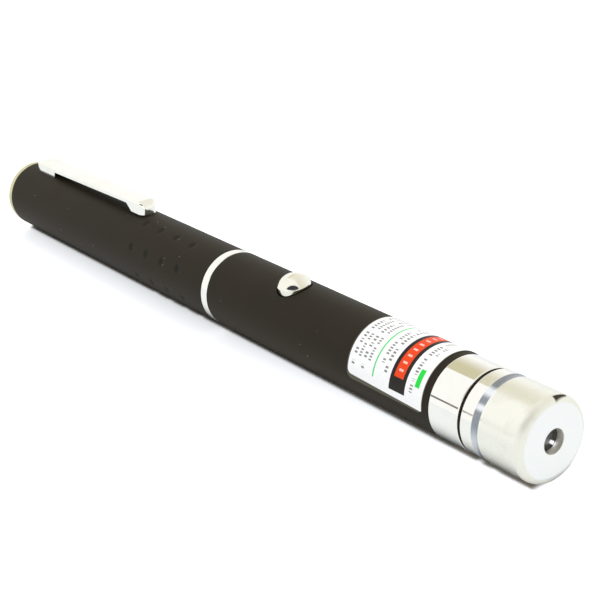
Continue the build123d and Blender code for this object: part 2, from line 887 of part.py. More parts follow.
# Expander lens: flat at the front, crowned at the rear
expander_rear = expander_seat - expander_edge
with BuildPart() as expander_lens:
    with BuildSketch(side_plane):
        with BuildLine():
            Polyline(
                (expander_rear - expander_crown, 0),
                (expander_seat, 0),
                (expander_seat, expander_diameter / 2),
                (expander_rear, expander_diameter / 2),
            )
            TangentArc(
                (expander_rear - expander_crown, 0),
                (expander_rear, expander_diameter / 2),
                tangent=(0, 1),
            )
        make_face()
    revolve(axis=pen_axis)
expander_lens.part.label = "expander_lens"
export_step(expander_lens.part, "parts/expander_lens.step")

# Collimating lens: flat at the rear, crowned towards the aperture inside a flat rim
collimator_front = collimator_start + collimator_edge
with BuildPart() as collimating_lens:
    with BuildSketch(side_plane):
        with BuildLine():
            Polyline(
                (collimator_front + collimator_crown, 0),
                (collimator_start, 0),
                (collimator_start, collimator_diameter / 2),
                (collimator_front, collimator_diameter / 2),
                (collimator_front, lock_ring_bore / 2),
            )
            TangentArc(
                (collimator_front + collimator_crown, 0),
                (collimator_front, lock_ring_bore / 2),
                tangent=(0, 1),
            )
        make_face()
    revolve(axis=pen_axis)
collimating_lens.part.label = "collimating_lens"
export_step(collimating_lens.part, "parts/collimating_lens.step")

# Lock ring: holds the front lens, with two slots for a spanner
with BuildPart() as lens_lock_ring:
    tube(collimator_front, lens_barrel_end, collimator_diameter / 2, lock_ring_bore / 2)
    with BuildSketch(cross_plane(lens_barrel_end)):
        Rectangle(collimator_diameter + overrun, lock_slot_width)
    extrude(amount=-lock_slot_depth, mode=Mode.SUBTRACT)
lens_lock_ring.part.label = "lens_lock_ring"
export_step(lens_lock_ring.part, "parts/lens_lock_ring.step")

# Nose ring: a bright collar pressed into the barrel and over the housing
with BuildPart() as nose_ring:
    turned([
        (nose_start - nose_spigot_length, housing_radius),
        (nose_start - nose_spigot_length, front_bore_radius),
        (nose_start, front_bore_radius),
        (nose_start, body_radius - edge_break),
        (nose_start + edge_break, body_radius),
        (nose_end - edge_break, body_radius),
        (nose_end, body_radius - edge_break),
        (nose_end, housing_radius),
    ])
nose_ring.part.label = "nose_ring"
export_step(nose_ring.part, "parts/nose_ring.step")

# Front cap: screws over the housing, with a shallow turned band and the beam's aperture
cap_bore_radius = housing_radius + running_clearance
window_seat = cap_end - cap_front_wall
window_recess = window_seat - cap_window_seat
band_start = cap_start + cap_band_start
band_end = band_start + cap_band_length
with BuildPart() as front_cap:
    with BuildSketch(side_plane):
        with BuildLine():
            Polyline(
                (cap_end - cap_edge_rounding, body_radius),
                (band_end, body_radius),
                (band_end, body_radius - cap_band_depth),
                (band_start, body_radius - cap_band_depth),
                (band_start, body_radius),
                (cap_start + edge_break, body_radius),
                (cap_start, body_radius - edge_break),
                (cap_start, cap_bore_radius),
                (housing_end, cap_bore_radius),
                (housing_end, cap_cavity_diameter / 2),
                (window_recess, cap_cavity_diameter / 2),
                (window_recess, window_diameter / 2 + window_gap),
                (window_seat, window_diameter / 2 + window_gap),
                (window_seat, aperture_diameter / 2),
                (cap_end - aperture_chamfer, aperture_diameter / 2),
                (cap_end, aperture_diameter / 2 + aperture_chamfer),
                (cap_end, body_radius - cap_edge_rounding),
            )
            TangentArc(
                (cap_end - cap_edge_rounding, body_radius), (cap_end, body_radius - cap_edge_rounding),
                tangent=(1, 0),
            )
        make_face()
    revolve(axis=pen_axis)
front_cap.part.label = "front_cap"
export_step(front_cap.part, "parts/front_cap.step")

# Window: a flat glass disc behind the aperture
window_front = window_seat - window_gap
with BuildPart() as cap_window:
    turned([
        (window_front - window_thickness, 0),
        (window_front - window_thickness, window_diameter / 2),
        (window_front, window_diameter / 2),
        (window_front, 0),
    ])
cap_window.part.label = "cap_window"
export_step(cap_window.part, "parts/cap_window.step")

print("overall length", round(overall_length, 3), "mm, diameter", body_diameter, "mm")
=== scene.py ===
# %% [markdown]
# A laser pointer is a pen full of small parts: two cells, a board with its switch and a brass
# module with lenses. The solids already hold every one of them in its place. This lesson dresses
# them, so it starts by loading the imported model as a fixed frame, in metres.

# %% Load the frame
import math
import bmesh
import bpy
import numpy as np
from mathutils import Matrix, Vector


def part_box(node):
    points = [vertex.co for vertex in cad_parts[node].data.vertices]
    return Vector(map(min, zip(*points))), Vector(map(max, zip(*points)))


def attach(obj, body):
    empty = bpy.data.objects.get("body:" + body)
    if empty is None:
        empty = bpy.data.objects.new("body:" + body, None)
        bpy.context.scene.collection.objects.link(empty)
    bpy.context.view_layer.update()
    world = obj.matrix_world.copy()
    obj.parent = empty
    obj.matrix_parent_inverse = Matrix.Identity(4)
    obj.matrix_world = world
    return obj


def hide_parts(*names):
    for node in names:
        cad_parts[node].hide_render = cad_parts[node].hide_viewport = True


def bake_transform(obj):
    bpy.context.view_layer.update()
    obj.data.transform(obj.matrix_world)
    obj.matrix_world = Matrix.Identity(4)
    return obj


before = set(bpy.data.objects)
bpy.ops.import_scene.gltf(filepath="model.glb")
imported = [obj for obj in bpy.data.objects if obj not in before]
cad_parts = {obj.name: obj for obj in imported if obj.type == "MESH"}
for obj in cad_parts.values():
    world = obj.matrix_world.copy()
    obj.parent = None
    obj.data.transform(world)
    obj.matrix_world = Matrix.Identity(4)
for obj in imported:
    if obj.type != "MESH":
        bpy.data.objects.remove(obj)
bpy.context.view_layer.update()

# %% [markdown]
# The pen lies along X, with its head at +X, and its middle line runs 7.1 mm above the table. Sizes
# are easier to read in millimetres, so each helper takes millimetres and turns them into metres
# only when it makes its mesh.

# %% Main places along the pen
MM, IN_MM = 0.001, 1000.0
AXIS, BODY = 7.1, 7.1
TAIL, TUBE_START, RING_START, BARREL_START = -80.0, -78.6, -2.8, -0.8
NOSE_START, NOSE_END, CAP_START, CAP_END = 60.2, 66.7, 67.15, 80.0
BUTTON_X = 18.8
print("the pen is", CAP_END - TAIL, "mm long and", 2 * BODY, "mm thick")

# %% [markdown]
# The camera comes first, because everything else is judged through it. It looks down at the head
# from the front and a little to one side, with a long lens, and it is rolled so that the pen
# falls away to the upper left. The three directions below are its right, its up and its back.

# %% Camera
CAMERA_PLACE = Vector((0.21524, -0.12244, 0.13633))
RIGHT = Vector((0.60383, 0.77516, -0.18576))
UP = Vector((-0.28228, 0.4259, 0.85961))
BACK = Vector((0.74545, -0.46662, 0.47599))
camera_data = bpy.data.cameras.new("camera")
camera_data.lens, camera_data.sensor_width = 90.0, 36.0
camera_data.clip_start, camera_data.clip_end = 0.01, 50.0
camera = bpy.data.objects.new("camera", camera_data)
camera_turn = Matrix((RIGHT, UP, BACK)).transposed().to_4x4()
camera.matrix_world = Matrix.Translation(CAMERA_PLACE) @ camera_turn
bpy.context.scene.collection.objects.link(camera)
bpy.context.scene.camera = camera
bpy.context.scene.view_settings.view_transform = "Standard"
print("camera", round(math.degrees(math.asin(BACK.z)), 1), "degrees above the table")

# %% [markdown]
# Materials are node trees, and a tree is easier to read as arithmetic. One small class wraps an
# output socket, so that `1 - mask` or `place * 3 + 1` adds its own Math nodes. Every other node
# comes from one method: it takes the node's type, its settings, and the values or links of its
# sockets.

# %% A socket that Python can reckon with
class Wire:
    """An output socket of a node tree, or the bare tree while it has no socket."""

    def __init__(self, tree, socket=None):
        self.tree, self.socket = tree, socket

    def node(self, kind, settings=None, sockets=None, output=0):
        made = self.tree.nodes.new(kind)
        for name, value in (settings or {}).items():
            setattr(made, name, value)
        for name, value in (sockets or {}).items():
            if isinstance(value, Wire):
                self.tree.links.new(value.socket, made.inputs[name])
            else:
                made.inputs[name].default_value = value
        return Wire(self.tree, made.outputs[output] if len(made.outputs) else None)

    def reckon(self, operation, *terms):
        return self.node("ShaderNodeMath", {"operation": operation}, dict(enumerate(terms)))

    def __add__(self, other):
        return self.reckon("ADD", self, other)

    def __radd__(self, other):
        return self.reckon("ADD", other, self)

    def __sub__(self, other):
        return self.reckon("SUBTRACT", self, other)

    def __rsub__(self, other):
        return self.reckon("SUBTRACT", other, self)

    def __mul__(self, other):
        return self.reckon("MULTIPLY", self, other)

    def __rmul__(self, other):
        return self.reckon("MULTIPLY", other, self)

    def __truediv__(self, other):
        return self.reckon("DIVIDE", self, other)

    def __rtruediv__(self, other):
        return self.reckon("DIVIDE", other, self)

    def __neg__(self):
        return self.reckon("MULTIPLY", self, -1.0)

    def step(self, low, high):
        """A soft step: 0 below low, 1 above high."""
        return self.node(
            "ShaderNodeMapRange", {"interpolation_type": "SMOOTHSTEP"},
            {"Value": self, "From Min": low, "From Max": high},
        )

    def band(self, low, high, soft):
        """1 between low and high, with soft edges."""
        return self.step(low - soft, low) * (1 - self.step(high, high + soft))

    def mix(self, low, high):
        """Colour low where this is 0, and high where it is 1. A colour mix has them in sockets 6 and 7."""
        sockets = {0: self}
        for slot, colour in ((6, low), (7, high)):
            sockets[slot] = colour if isinstance(colour, Wire) else (*colour, 1.0)
        return self.node("ShaderNodeMix", {"data_type": "RGBA"}, sockets, output=2)


print("a wire reckons with + - * / and makes steps, bands and colour mixes")

# %% [markdown]
# Almost every piece here was turned on a lathe, so its marks run round the pen. A material
# therefore wants to know three things about a point: how far along the pen it is, how far from
# the middle line, and at what turn round it. All three come from the object's own coordinates,
# which stay with the piece when it moves.

# %% Start a material, and find a point on the pen
def material(name):
    made = bpy.data.materials.new(name)
    made.use_nodes = True
    made.node_tree.nodes.clear()
    return made, Wire(made.node_tree)


def finish(made, tree, colour, rough, metal=0.0, normal=None, more=None):
    """Close a material with a Principled shader, fed with fixed values or wires."""
    sockets = {"Base Color": colour, "Roughness": rough, "Metallic": metal, **(more or {})}
    if normal is not None:
        sockets["Normal"] = normal
    shader = tree.node("ShaderNodeBsdfPrincipled", {}, sockets)
    tree.node("ShaderNodeOutputMaterial", {}, {"Surface": shader})
    return made


def split(tree, point):
    """The three parts of a point or a direction."""
    return [tree.node("ShaderNodeSeparateXYZ", {}, {0: point}, output=i) for i in range(3)]


def distance(tree, a, b):
    """How far a point is that lies a one way and b the other."""
    return tree.reckon("SQRT", a * a + b * b)


def ray(tree, kind):
    """1 for rays of one kind, such as Is Camera Ray."""
    return tree.node("ShaderNodeLightPath", output=kind)


def place_on_pen(tree):
    """Along the pen and out from its middle in millimetres, and the turn from the top in degrees."""
    point = tree.node("ShaderNodeTexCoord", output="Object")
    along, across, height = [part * IN_MM for part in split(tree, point)]
    height = height - AXIS
    out = distance(tree, across, height)
    turn = tree.reckon("ARCTAN2", -across, height) * (180 / math.pi)
    return point, along, out, turn


def noise(tree, vector, scale, detail=2.0, roughness=0.5):
    """Noise whose scale is counted in spots for each metre of the piece."""
    return tree.node(
        "ShaderNodeTexNoise", {}, {"Vector": vector, "Scale": scale, "Detail": detail, "Roughness": roughness}
    )


def vector(tree, x=0.0, y=0.0, z=0.0):
    return tree.node("ShaderNodeCombineXYZ", {}, {0: x, 1: y, 2: z})


def bump(tree, height, strength, depth_mm):
    return tree.node(
        "ShaderNodeBump", {}, {"Height": height, "Strength": strength, "Distance": depth_mm * MM}
    )


print("material helpers ready")

# %% [markdown]
# The tubes wear a matte warm black paint that feels slightly rubbery. Up close it has a fine
# pebble, a slow cloudiness where it has been handled, and a few specks of pale dust. Its low
# gloss comes from a high roughness, with the specular level turned down so that the black stays
# black under a white sky.

# %% Barrel paint
def barrel_paint():
    made, tree = material("barrel_paint")
    point, _, out, _ = place_on_pen(tree)
    cloud = noise(tree, point, 90.0, 3.0)
    pebble = noise(tree, point, 5200.0, 2.0, 0.6)
    cell = {"Vector": point, "Scale": 500.0, "Randomness": 1.0}
    speck_place = tree.node("ShaderNodeTexVoronoi", {}, cell)
    speck_luck = tree.node("ShaderNodeTexVoronoi", {}, cell, output="Color")
    red = tree.node("ShaderNodeSeparateColor", {}, {0: speck_luck})
    speck = (1 - speck_place.step(0.035, 0.065)) * red.step(0.62, 0.64)
    colour = cloud.step(0.3, 0.7).mix((0.0190, 0.0142, 0.0072), (0.0235, 0.0175, 0.0092))
    # Painted shade: the paint is darkened inside the pressed dimples, where shade would fall in them.
    painted_dimple_shade = 1 - out.step(BODY - 0.12, BODY - 0.01)
    colour = (painted_dimple_shade * 0.6).mix(colour, (0.006, 0.005, 0.004))
    colour = (speck * 0.7).mix(colour, (0.42, 0.38, 0.32))
    normal = bump(tree, pebble, 0.35, 0.02)
    return finish(made, tree, colour, 0.5 + cloud * 0.12, 0.0, normal, {"Specular IOR Level": 0.15})


BARREL_PAINT = barrel_paint()
print("made", BARREL_PAINT.name)

# %% [markdown]
# Bright plating is almost a mirror, so most of its look is the studio. What is its own is a
# faint warm tint, fine rings left by the lathe, and a slight smear of handling that dulls it in
# places. One recipe makes all the bright pieces: the rings follow along the pen on a round side
# and outwards on an end face, because they are drawn on the sum of both.

# %% Bright plating
def plating(name, colour, dull_colour, gloss, ring_depth, smear):
    made, tree = material(name)
    point, along, out, turn = place_on_pen(tree)
    across_rings = along + out
    rings = noise(tree, vector(tree, x=across_rings), 9.0, 4.0, 0.7)
    fine = noise(tree, vector(tree, x=across_rings, y=turn * 0.002), 40.0, 2.0, 0.6)
    handled = noise(tree, point, 260.0, 3.0, 0.6).step(0.42, 0.72)
    shade = (handled * smear + rings * 0.25 * smear).mix(colour, dull_colour)
    rough = gloss + handled * (gloss * 0.8) + (fine - 0.5) * gloss
    return finish(made, tree, shade, rough, 1.0, bump(tree, rings + fine * 0.5, 0.25, ring_depth))


RING_CHROME = plating("ring_chrome", (0.95, 0.94, 0.90), (0.80, 0.78, 0.70), 0.05, 0.002, 0.3)
NOSE_CHROME = plating("nose_chrome", (0.95, 0.94, 0.90), (0.82, 0.80, 0.72), 0.035, 0.001, 0.2)
TAIL_CHROME = plating("tail_chrome", (0.68, 0.64, 0.40), (0.50, 0.47, 0.28), 0.14, 0.004, 0.5)
BUTTON_CHROME = plating("button_chrome", (0.93, 0.91, 0.82), (0.72, 0.69, 0.58), 0.06, 0.003, 0.5)
CLIP_CHROME = plating("clip_chrome", (0.96, 0.95, 0.90), (0.86, 0.84, 0.76), 0.07, 0.001, 0.35)
print("made five bright finishes")

# %% [markdown]
# Turned pieces are made by a small lathe of our own: a closed outline, given as places along the
# pen and radii, is turned round the middle line. A third number on a corner rounds it off. The
# lathe also takes a wave, a function that moves the surface in or out, and that one idea later
# cuts both the grip dimples and the screw threads as real geometry.

# %% A lathe for meshes
def softened(outline, parts=4):
    """Round each corner that carries a third number, its radius.

    A holding point just before and after each rounding keeps the long flats flat in reflections.
    """
    points = []
    count = len(outline)
    for i, corner in enumerate(outline):
        here = np.array(corner[:2], float)
        if len(corner) < 3:
            points.append(tuple(here))
            continue
        before = np.array(outline[i - 1][:2], float) - here
        after = np.array(outline[(i + 1) % count][:2], float) - here
        hold = [min(0.05, 0.08 * float(np.linalg.norm(side))) for side in (before, after)]
        before, after = before / np.linalg.norm(before), after / np.linalg.norm(after)
        half = math.acos(max(-1.0, min(1.0, float(before @ after)))) / 2
        reach = corner[2] / math.tan(half)
        middle = here + (before + after) / np.linalg.norm(before + after) * corner[2] / math.sin(half)
        first, last = here + before * reach - middle, here + after * reach - middle
        sweep = math.pi - 2 * half
        points.append(tuple(here + before * (reach + hold[0])))
        for k in range(parts + 1):
            share = k / parts
            spot = (first * math.sin((1 - share) * sweep) + last * math.sin(share * sweep)) / math.sin(sweep)
            points.append(tuple(middle + spot))
        points.append(tuple(here + after * (reach + hold[1])))
    return points


def grid(rows, width, base=0, around=False, closed=False):
    """Faces between the points of neighbouring rows.

    Around joins the two ends of each row, and closed joins the last row to the first.
    """
    faces = []
    for i in range(rows if closed else rows - 1):
        here, there = base + i * width, base + (i + 1) % rows * width
        for j in range(width if around else width - 1):
            k = (j + 1) % width
            faces.append((here + j, here + k, there + k, there + j))
    return faces


def new_piece(name, points, faces, paint, crease=35.0):
    """A mesh object from points in millimetres, welded, turned outwards and smooth but for creases."""
    mesh = bpy.data.meshes.new(name)
    mesh.from_pydata([tuple(v * MM for v in p) for p in points], [], faces)
    work = bmesh.new()
    work.from_mesh(mesh)
    bmesh.ops.remove_doubles(work, verts=work.verts, dist=1e-7)
    bmesh.ops.recalc_face_normals(work, faces=work.faces)
    for face in work.faces:
        face.smooth = True
    work.to_mesh(mesh)
    work.free()
    mesh.set_sharp_from_angle(angle=math.radians(crease))
    mesh.materials.append(paint)
    piece = bpy.data.objects.new(name, mesh)
    bpy.context.scene.collection.objects.link(piece)
    return piece


def lathe(name, outline, paint, steps=160, wave=None):
    """Turn an outline of (along, radius, rounding) round the pen's middle line."""
    points = np.array(softened(outline))
    turn = np.arange(steps) * 2 * math.pi / steps
    along = np.repeat(points[:, :1], steps, axis=1)
    radius = np.repeat(points[:, 1:], steps, axis=1)
    turns = np.repeat(turn[None, :], len(points), axis=0)
    if wave is not None:
        radius = wave(along, radius, turns)
    spots = np.stack([along, -radius * np.sin(turns), AXIS + radius * np.cos(turns)], axis=-1)
    faces = grid(len(points), steps, around=True, closed=True)
    return new_piece(name, spots.reshape(-1, 3).tolist(), faces, paint)


def run(start, end, step):
    """Evenly spaced places from start to end, not more than a step apart."""
    return np.linspace(start, end, max(2, int(abs(end - start) / step) + 2)).tolist()


print("the lathe is ready")

# %% [markdown]
# A screw thread is a ridge that climbs round the pen. At each point its height depends only on
# how far along the point is, less its share of a full turn times the pitch. When the outer and
# the inner thread use the same sum, they stay in mesh while one is screwed off the other.

# %% The shape of a thread
def thread(along, turns, pitch):
    """0 at a thread's root and 1 at its crest, each flat for about a quarter of the pitch."""
    phase = (along / pitch - turns / (2 * math.pi)) % 1.0
    return np.clip(1.6 - np.abs(phase - 0.5) * 4.2, 0.0, 1.0)


def fade(along, start, end, soft):
    """1 well inside start and end, and 0 outside them."""
    rise = np.clip((along - start) / soft, 0, 1) * np.clip((end - along) / soft, 0, 1)
    return rise * rise * (3 - 2 * rise)


def on_wall(radius, wall, new_radius):
    """Put in the new radius where the outline runs along the wall, and leave the rest."""
    return np.where(np.abs(radius - wall) < 0.005, new_radius, radius)


print("thread crest at half a pitch:", float(thread(np.array(0.625), np.array(0.0), 1.25)))

# %% [markdown]
# The rear tube holds the cells. Its paint is broken by eight rows of shallow round dimples, four
# in a row, that help the fingers grip when it is unscrewed. They could be painted on with a bump,
# but a dimple this wide shows in the outline and in the gloss, so each is pressed into the mesh,
# with the mesh kept fine only there.

# %% Rear tube
DIMPLE_FIRST, DIMPLE_PITCH, DIMPLE_RADIUS, DIMPLE_DEPTH = RING_START - 8.5, 5.5, 1.15, 0.15
DIMPLE_SHIFTS = (0.0, 0.0, DIMPLE_PITCH / 4, DIMPLE_PITCH / 4)
DIMPLE_ROWS = [(12.0 + 45.0 * row, DIMPLE_SHIFTS[row % 4]) for row in range(8)]
DIMPLES_IN_ROW = 4
GRIP_REAR, GRIP_FRONT = RING_START - 28.0, RING_START - 5.7
JOINT_PITCH, JOINT_ROOT, JOINT_CREST, TUBE_RIDGE = 1.25, 5.80, 6.14, 0.33
TUBE_BORE, JOINT_BORE, JOINT_LENGTH = 5.6, 6.2, 9.4


def press_dimples(along, radius, turns):
    outside = radius > BODY - 0.001
    for angle, shift in DIMPLE_ROWS:
        around = (turns - math.radians(angle) + math.pi) % (2 * math.pi) - math.pi
        for place in range(DIMPLES_IN_ROW):
            ahead = along - (DIMPLE_FIRST - place * DIMPLE_PITCH + shift)
            gap = np.hypot(ahead, around * BODY) / DIMPLE_RADIUS
            hollow = np.clip(1 - gap**2, 0, 1)
            radius = radius - outside * DIMPLE_DEPTH * hollow**1.6
    return radius


def rear_tube_wave(along, radius, turns):
    radius = press_dimples(along, radius, turns)
    ridge = thread(along, turns, JOINT_PITCH) * fade(along, RING_START - 9.35, RING_START - 0.2, 0.6)
    return on_wall(radius, JOINT_BORE, JOINT_BORE - TUBE_RIDGE * ridge)


rear_tube = lathe(
    "rear_tube_painted",
    [(TUBE_START, TUBE_BORE), (TUBE_START, BODY, 0.2)]
    + [(x, BODY) for x in run(TUBE_START + 1, GRIP_REAR - 0.3, 8.0)]
    + [(x, BODY) for x in run(GRIP_REAR, GRIP_FRONT, 0.19)]
    + [(RING_START, BODY, 0.15), (RING_START, JOINT_BORE, 0.15)]
    + [(x, JOINT_BORE) for x in run(RING_START - 0.3, RING_START - JOINT_LENGTH, 0.12)]
    + [(RING_START - JOINT_LENGTH, TUBE_BORE)],
    BARREL_PAINT, steps=240, wave=rear_tube_wave,
)
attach(rear_tube, "rear_body")
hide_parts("rear_tube")
print(rear_tube.name, len(rear_tube.data.polygons), "faces")

# %% [markdown]
# The tail cap is a bright cup pressed into the tube. Only its rim and its flat end show, so the
# edge between them is rounded a little, the way polishing leaves it.

# %% Tail cap
SPIGOT_END, SPIGOT_BORE, TAIL_WALL = TUBE_START + 2.0, 4.9, 1.5
tail_cap = lathe(
    "tail_cap_bright",
    [
        (TAIL, 0.0), (TAIL, 2.0), (TAIL, BODY, 0.35), (TUBE_START - 0.02, BODY, 0.1),
        (TUBE_START, BODY - 0.1), (TUBE_START, TUBE_BORE), (SPIGOT_END, TUBE_BORE, 0.15),
        (SPIGOT_END, SPIGOT_BORE, 0.15), (TAIL + TAIL_WALL, SPIGOT_BORE, 0.2), (TAIL + TAIL_WALL, 0.0),
    ],
    TAIL_CHROME,
)
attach(tail_cap, "rear_body")
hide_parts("tail_cap")
print(tail_cap.name, len(tail_cap.data.polygons), "faces")

# %% [markdown]
# The joint ring parts the two tubes. Outside it is a narrow bright band with eased edges. Inside
# the rear tube it carries the thread, and inside the front barrel a plain spigot is pressed home.

# %% Joint ring
RING_BORE, RING_WALL, BARREL_BORE = 5.5, 6.15, 6.0
RING_REAR, PRESSED_END = RING_START - 9.0, BARREL_START + 5.0


def joint_ring_wave(along, radius, turns):
    ridge = thread(along, turns, JOINT_PITCH) * fade(along, RING_START - 8.9, RING_START - 0.55, 0.6)
    return on_wall(radius, RING_WALL, JOINT_ROOT + (JOINT_CREST - JOINT_ROOT) * ridge)


joint_ring = lathe(
    "joint_ring_bright",
    [(RING_REAR, RING_BORE, 0.1), (RING_REAR, JOINT_ROOT - 0.02)]
    + [(x, RING_WALL) for x in run(RING_START - 8.9, RING_START - 0.4, 0.12)]
    + [
        (RING_START, JOINT_ROOT), (RING_START, BODY, 0.2), (BARREL_START, BODY, 0.2),
        (BARREL_START, BARREL_BORE), (PRESSED_END, BARREL_BORE, 0.15), (PRESSED_END, RING_BORE, 0.1),
    ],
    RING_CHROME, steps=192, wave=joint_ring_wave,
)
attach(joint_ring, "front_body")
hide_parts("joint_ring")
print(joint_ring.name, len(joint_ring.data.polygons), "faces")

# %% [markdown]
# The nose ring is the most highly polished piece. It is a plain collar, and its hard part is the
# edge: a collar with knife edges looks drawn, so both ends are rounded by little more than a
# tenth of a millimetre and catch a thin line of light.

# %% Nose ring
HOUSING_RADIUS, NOSE_REAR = 5.9, NOSE_START - 3.0
nose_ring = lathe(
    "nose_ring_bright",
    [
        (NOSE_REAR, HOUSING_RADIUS), (NOSE_REAR, BARREL_BORE), (NOSE_START, BARREL_BORE),
        (NOSE_START, BODY, 0.12), (NOSE_END - 0.05, BODY, 0.15), (NOSE_END - 0.05, HOUSING_RADIUS),
    ],
    NOSE_CHROME, steps=192,
)
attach(nose_ring, "front_body")
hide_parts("nose_ring")
print(nose_ring.name, len(nose_ring.data.polygons), "faces")

# %% [markdown]
# The front cap has a rounded front edge, a flat face with the beam's opening in the middle, and a shallow
# turned band that is left satin grey. The band is hollow: an arc in the outline, a tenth of a millimetre
# deep, so that it shows the studio upside down between two bright edges. The cap's own finish changes along
# it, so one material switches by the place along the pen: bright behind, grey in the band with painted bright
# reflections streaked round it by the turn, worn in front of it, and satin on the rounding with one small
# painted dark reflection. Inside, from the thread to the window, it is a dull dark violet grey, a painted
# shade where the window's light is lost.

# %% Front cap
CAP_THREAD_PITCH, CAP_BORE, CAP_RIDGE, THREAD_END = 0.75, 5.95, 0.22, CAP_START + 5.55
BAND_START, BAND_END, BAND_DEPTH = CAP_START + 2.5, CAP_START + 4.05, 0.12
BAND_MIDDLE, BAND_HALF = (BAND_START + BAND_END) / 2, (BAND_END - BAND_START) / 2
INNER_WALL, WINDOW_SEAT, APERTURE = 5.2, 3.45, 2.05
WINDOW_REAR, WINDOW_FRONT = 77.6, 78.5


def cap_chrome():
    made, tree = material("cap_chrome_with_band")
    point, along, out, turn = place_on_pen(tree)
    across_rings = along + out
    rings = noise(tree, vector(tree, x=across_rings), 7.0, 5.0, 0.75)
    fine = noise(tree, vector(tree, x=across_rings, y=turn * 0.004), 45.0, 2.0, 0.6)
    smear = noise(tree, point, 220.0, 4.0, 0.62).step(0.45, 0.75)
    grey = along.band(BAND_START + 0.1, BAND_END - 0.1, 0.12) * out.step(6.6, 6.8)
    worn = along.step(BAND_END, BAND_END + 0.4)
    # Painted reflections: bright streaks in the grey band, set by the turn round the pen, and lighter over
    # the side that turns towards the viewer.
    painted_band_reflections = turn.band(20.0, 24.0, 9.0) + turn.band(44.0, 46.0, 6.0) + turn.step(66.0, 92.0) * 0.6
    # Painted reflection: a small dark patch on the far side of the front rounding, where a dark reflection
    # shows.
    painted_edge_reflection = along.step(CAP_END - 1.05, CAP_END - 0.9) * turn.band(-34.0, -14.0, 3.0)
    painted_edge_reflection = painted_edge_reflection * (1 - (along - turn * 0.02).step(CAP_END - 0.1, CAP_END + 0.25))
    edge = along.step(CAP_END - 1.7, CAP_END - 1.1)
    flat = along.step(CAP_END - 0.1, CAP_END - 0.04)
    clean = worn.mix((0.94, 0.93, 0.88), (0.92, 0.91, 0.83))
    bright = (smear * 0.5 * worn + (rings - 0.5) * 0.35).mix(clean, (0.76, 0.75, 0.66))
    bright = painted_edge_reflection.mix(flat.mix(bright, (0.97, 0.97, 0.955)), (0.06, 0.05, 0.04))
    satin = rings.step(0.35, 0.65).mix((0.25, 0.275, 0.31), (0.33, 0.35, 0.38))
    satin = painted_band_reflections.mix(satin, (0.86, 0.89, 0.93))
    polish = 0.06 + worn * (0.2 + smear * 0.1) + edge * (0.28 - flat * 0.3) + (fine - 0.5) * 0.05
    # Painted shade: inside the cap, from the thread to the window, the plating gives way to a dull dark
    # violet grey, where the deep bore lies in shade.
    painted_bore_shade = along.step(THREAD_END, THREAD_END + 0.1) * (1 - out.step(5.3, 5.35))
    painted_bore_shade = painted_bore_shade * (1 - along.step(WINDOW_FRONT, WINDOW_FRONT + 0.02))
    colour = painted_bore_shade.mix(grey.mix(bright, satin), (0.15, 0.125, 0.16))
    rough = (polish * (1 - grey) + grey * 0.24) * (1 - painted_bore_shade) + painted_bore_shade * 0.5
    return finish(made, tree, colour, rough, 1 - painted_bore_shade, bump(tree, rings + fine * 0.6, 0.3, 0.006))


def front_cap_wave(along, radius, turns):
    ridge = thread(along, turns, CAP_THREAD_PITCH) * fade(along, CAP_START + 0.3, THREAD_END - 0.1, 0.4)
    return on_wall(radius, CAP_BORE, CAP_BORE - CAP_RIDGE * ridge)


front_cap = lathe(
    "front_cap_bright",
    [(CAP_END, BODY, 1.35), (BAND_END + 0.06, BODY), (BAND_END + 0.01, BODY)]
    + [(BAND_MIDDLE + u * BAND_HALF, BODY - BAND_DEPTH * (1 - u * u)) for u in np.linspace(1, -1, 17)]
    + [(BAND_START - 0.01, BODY), (BAND_START - 0.06, BODY)]
    + [(CAP_START + 0.1, BODY, 0.15), (CAP_START + 0.1, CAP_BORE, 0.1)]
    + [(x, CAP_BORE) for x in run(CAP_START + 0.2, THREAD_END - 0.05, 0.09)]
    + [
        (THREAD_END, INNER_WALL), (WINDOW_REAR, INNER_WALL), (WINDOW_REAR, WINDOW_SEAT),
        (WINDOW_FRONT, WINDOW_SEAT), (WINDOW_FRONT, APERTURE), (CAP_END, APERTURE, 0.2), (CAP_END, 4.0),
    ],
    cap_chrome(), steps=192, wave=front_cap_wave,
)
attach(front_cap, "front_cap")
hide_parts("front_cap")
print(front_cap.name, len(front_cap.data.polygons), "faces")

# %% [markdown]
# The push button is a small turned cap with a flange below, which the barrel's wall keeps in.
# Its crown is a low dome, and a dome shows the whole studio in a few millimetres, so its shape
# has to be right: it is part of a sphere, reckoned from the crown's height and radius, with only
# a fine soft edge at the skirt. The same outline idea works for it, turned round an upright line.

# %% Push button
def upright(name, outline, paint, middle, steps=96):
    """Turn an outline of (height above the pen's middle, radius, rounding) round an upright line."""
    points = np.array(softened(outline, 5))
    turn = np.arange(steps) * 2 * math.pi / steps
    spots = [
        (middle + r * math.cos(t), r * math.sin(t), AXIS + h) for h, r in points for t in turn
    ]
    return new_piece(name, spots, grid(len(points), steps, around=True, closed=True), paint)


FLANGE, FLANGE_LOW, FLANGE_TOP = 3.6, 4.0, 4.6
SKIRT, SKIRT_TOP, CROWN = 3.0, 7.5, 9.2
CROWN_RADIUS = (SKIRT**2 + (CROWN - SKIRT_TOP) ** 2) / (2 * (CROWN - SKIRT_TOP))
crown = [
    (CROWN - CROWN_RADIUS + math.sqrt(CROWN_RADIUS**2 - r * r), r)
    for r in [SKIRT * 0.95 * math.cos(math.pi / 2 * k / 20) for k in range(20)]
]
skirt = [
    (FLANGE_LOW, 0.0), (FLANGE_LOW, FLANGE, 0.1), (FLANGE_TOP, FLANGE, 0.1), (FLANGE_TOP, SKIRT),
    (SKIRT_TOP, SKIRT, 0.14),
]
button = upright("button_bright", skirt + crown + [(CROWN, 0.0)], BUTTON_CHROME, BUTTON_X)
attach(button, "button")
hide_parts("button_cap")
print(button.name, len(button.data.polygons), "faces")
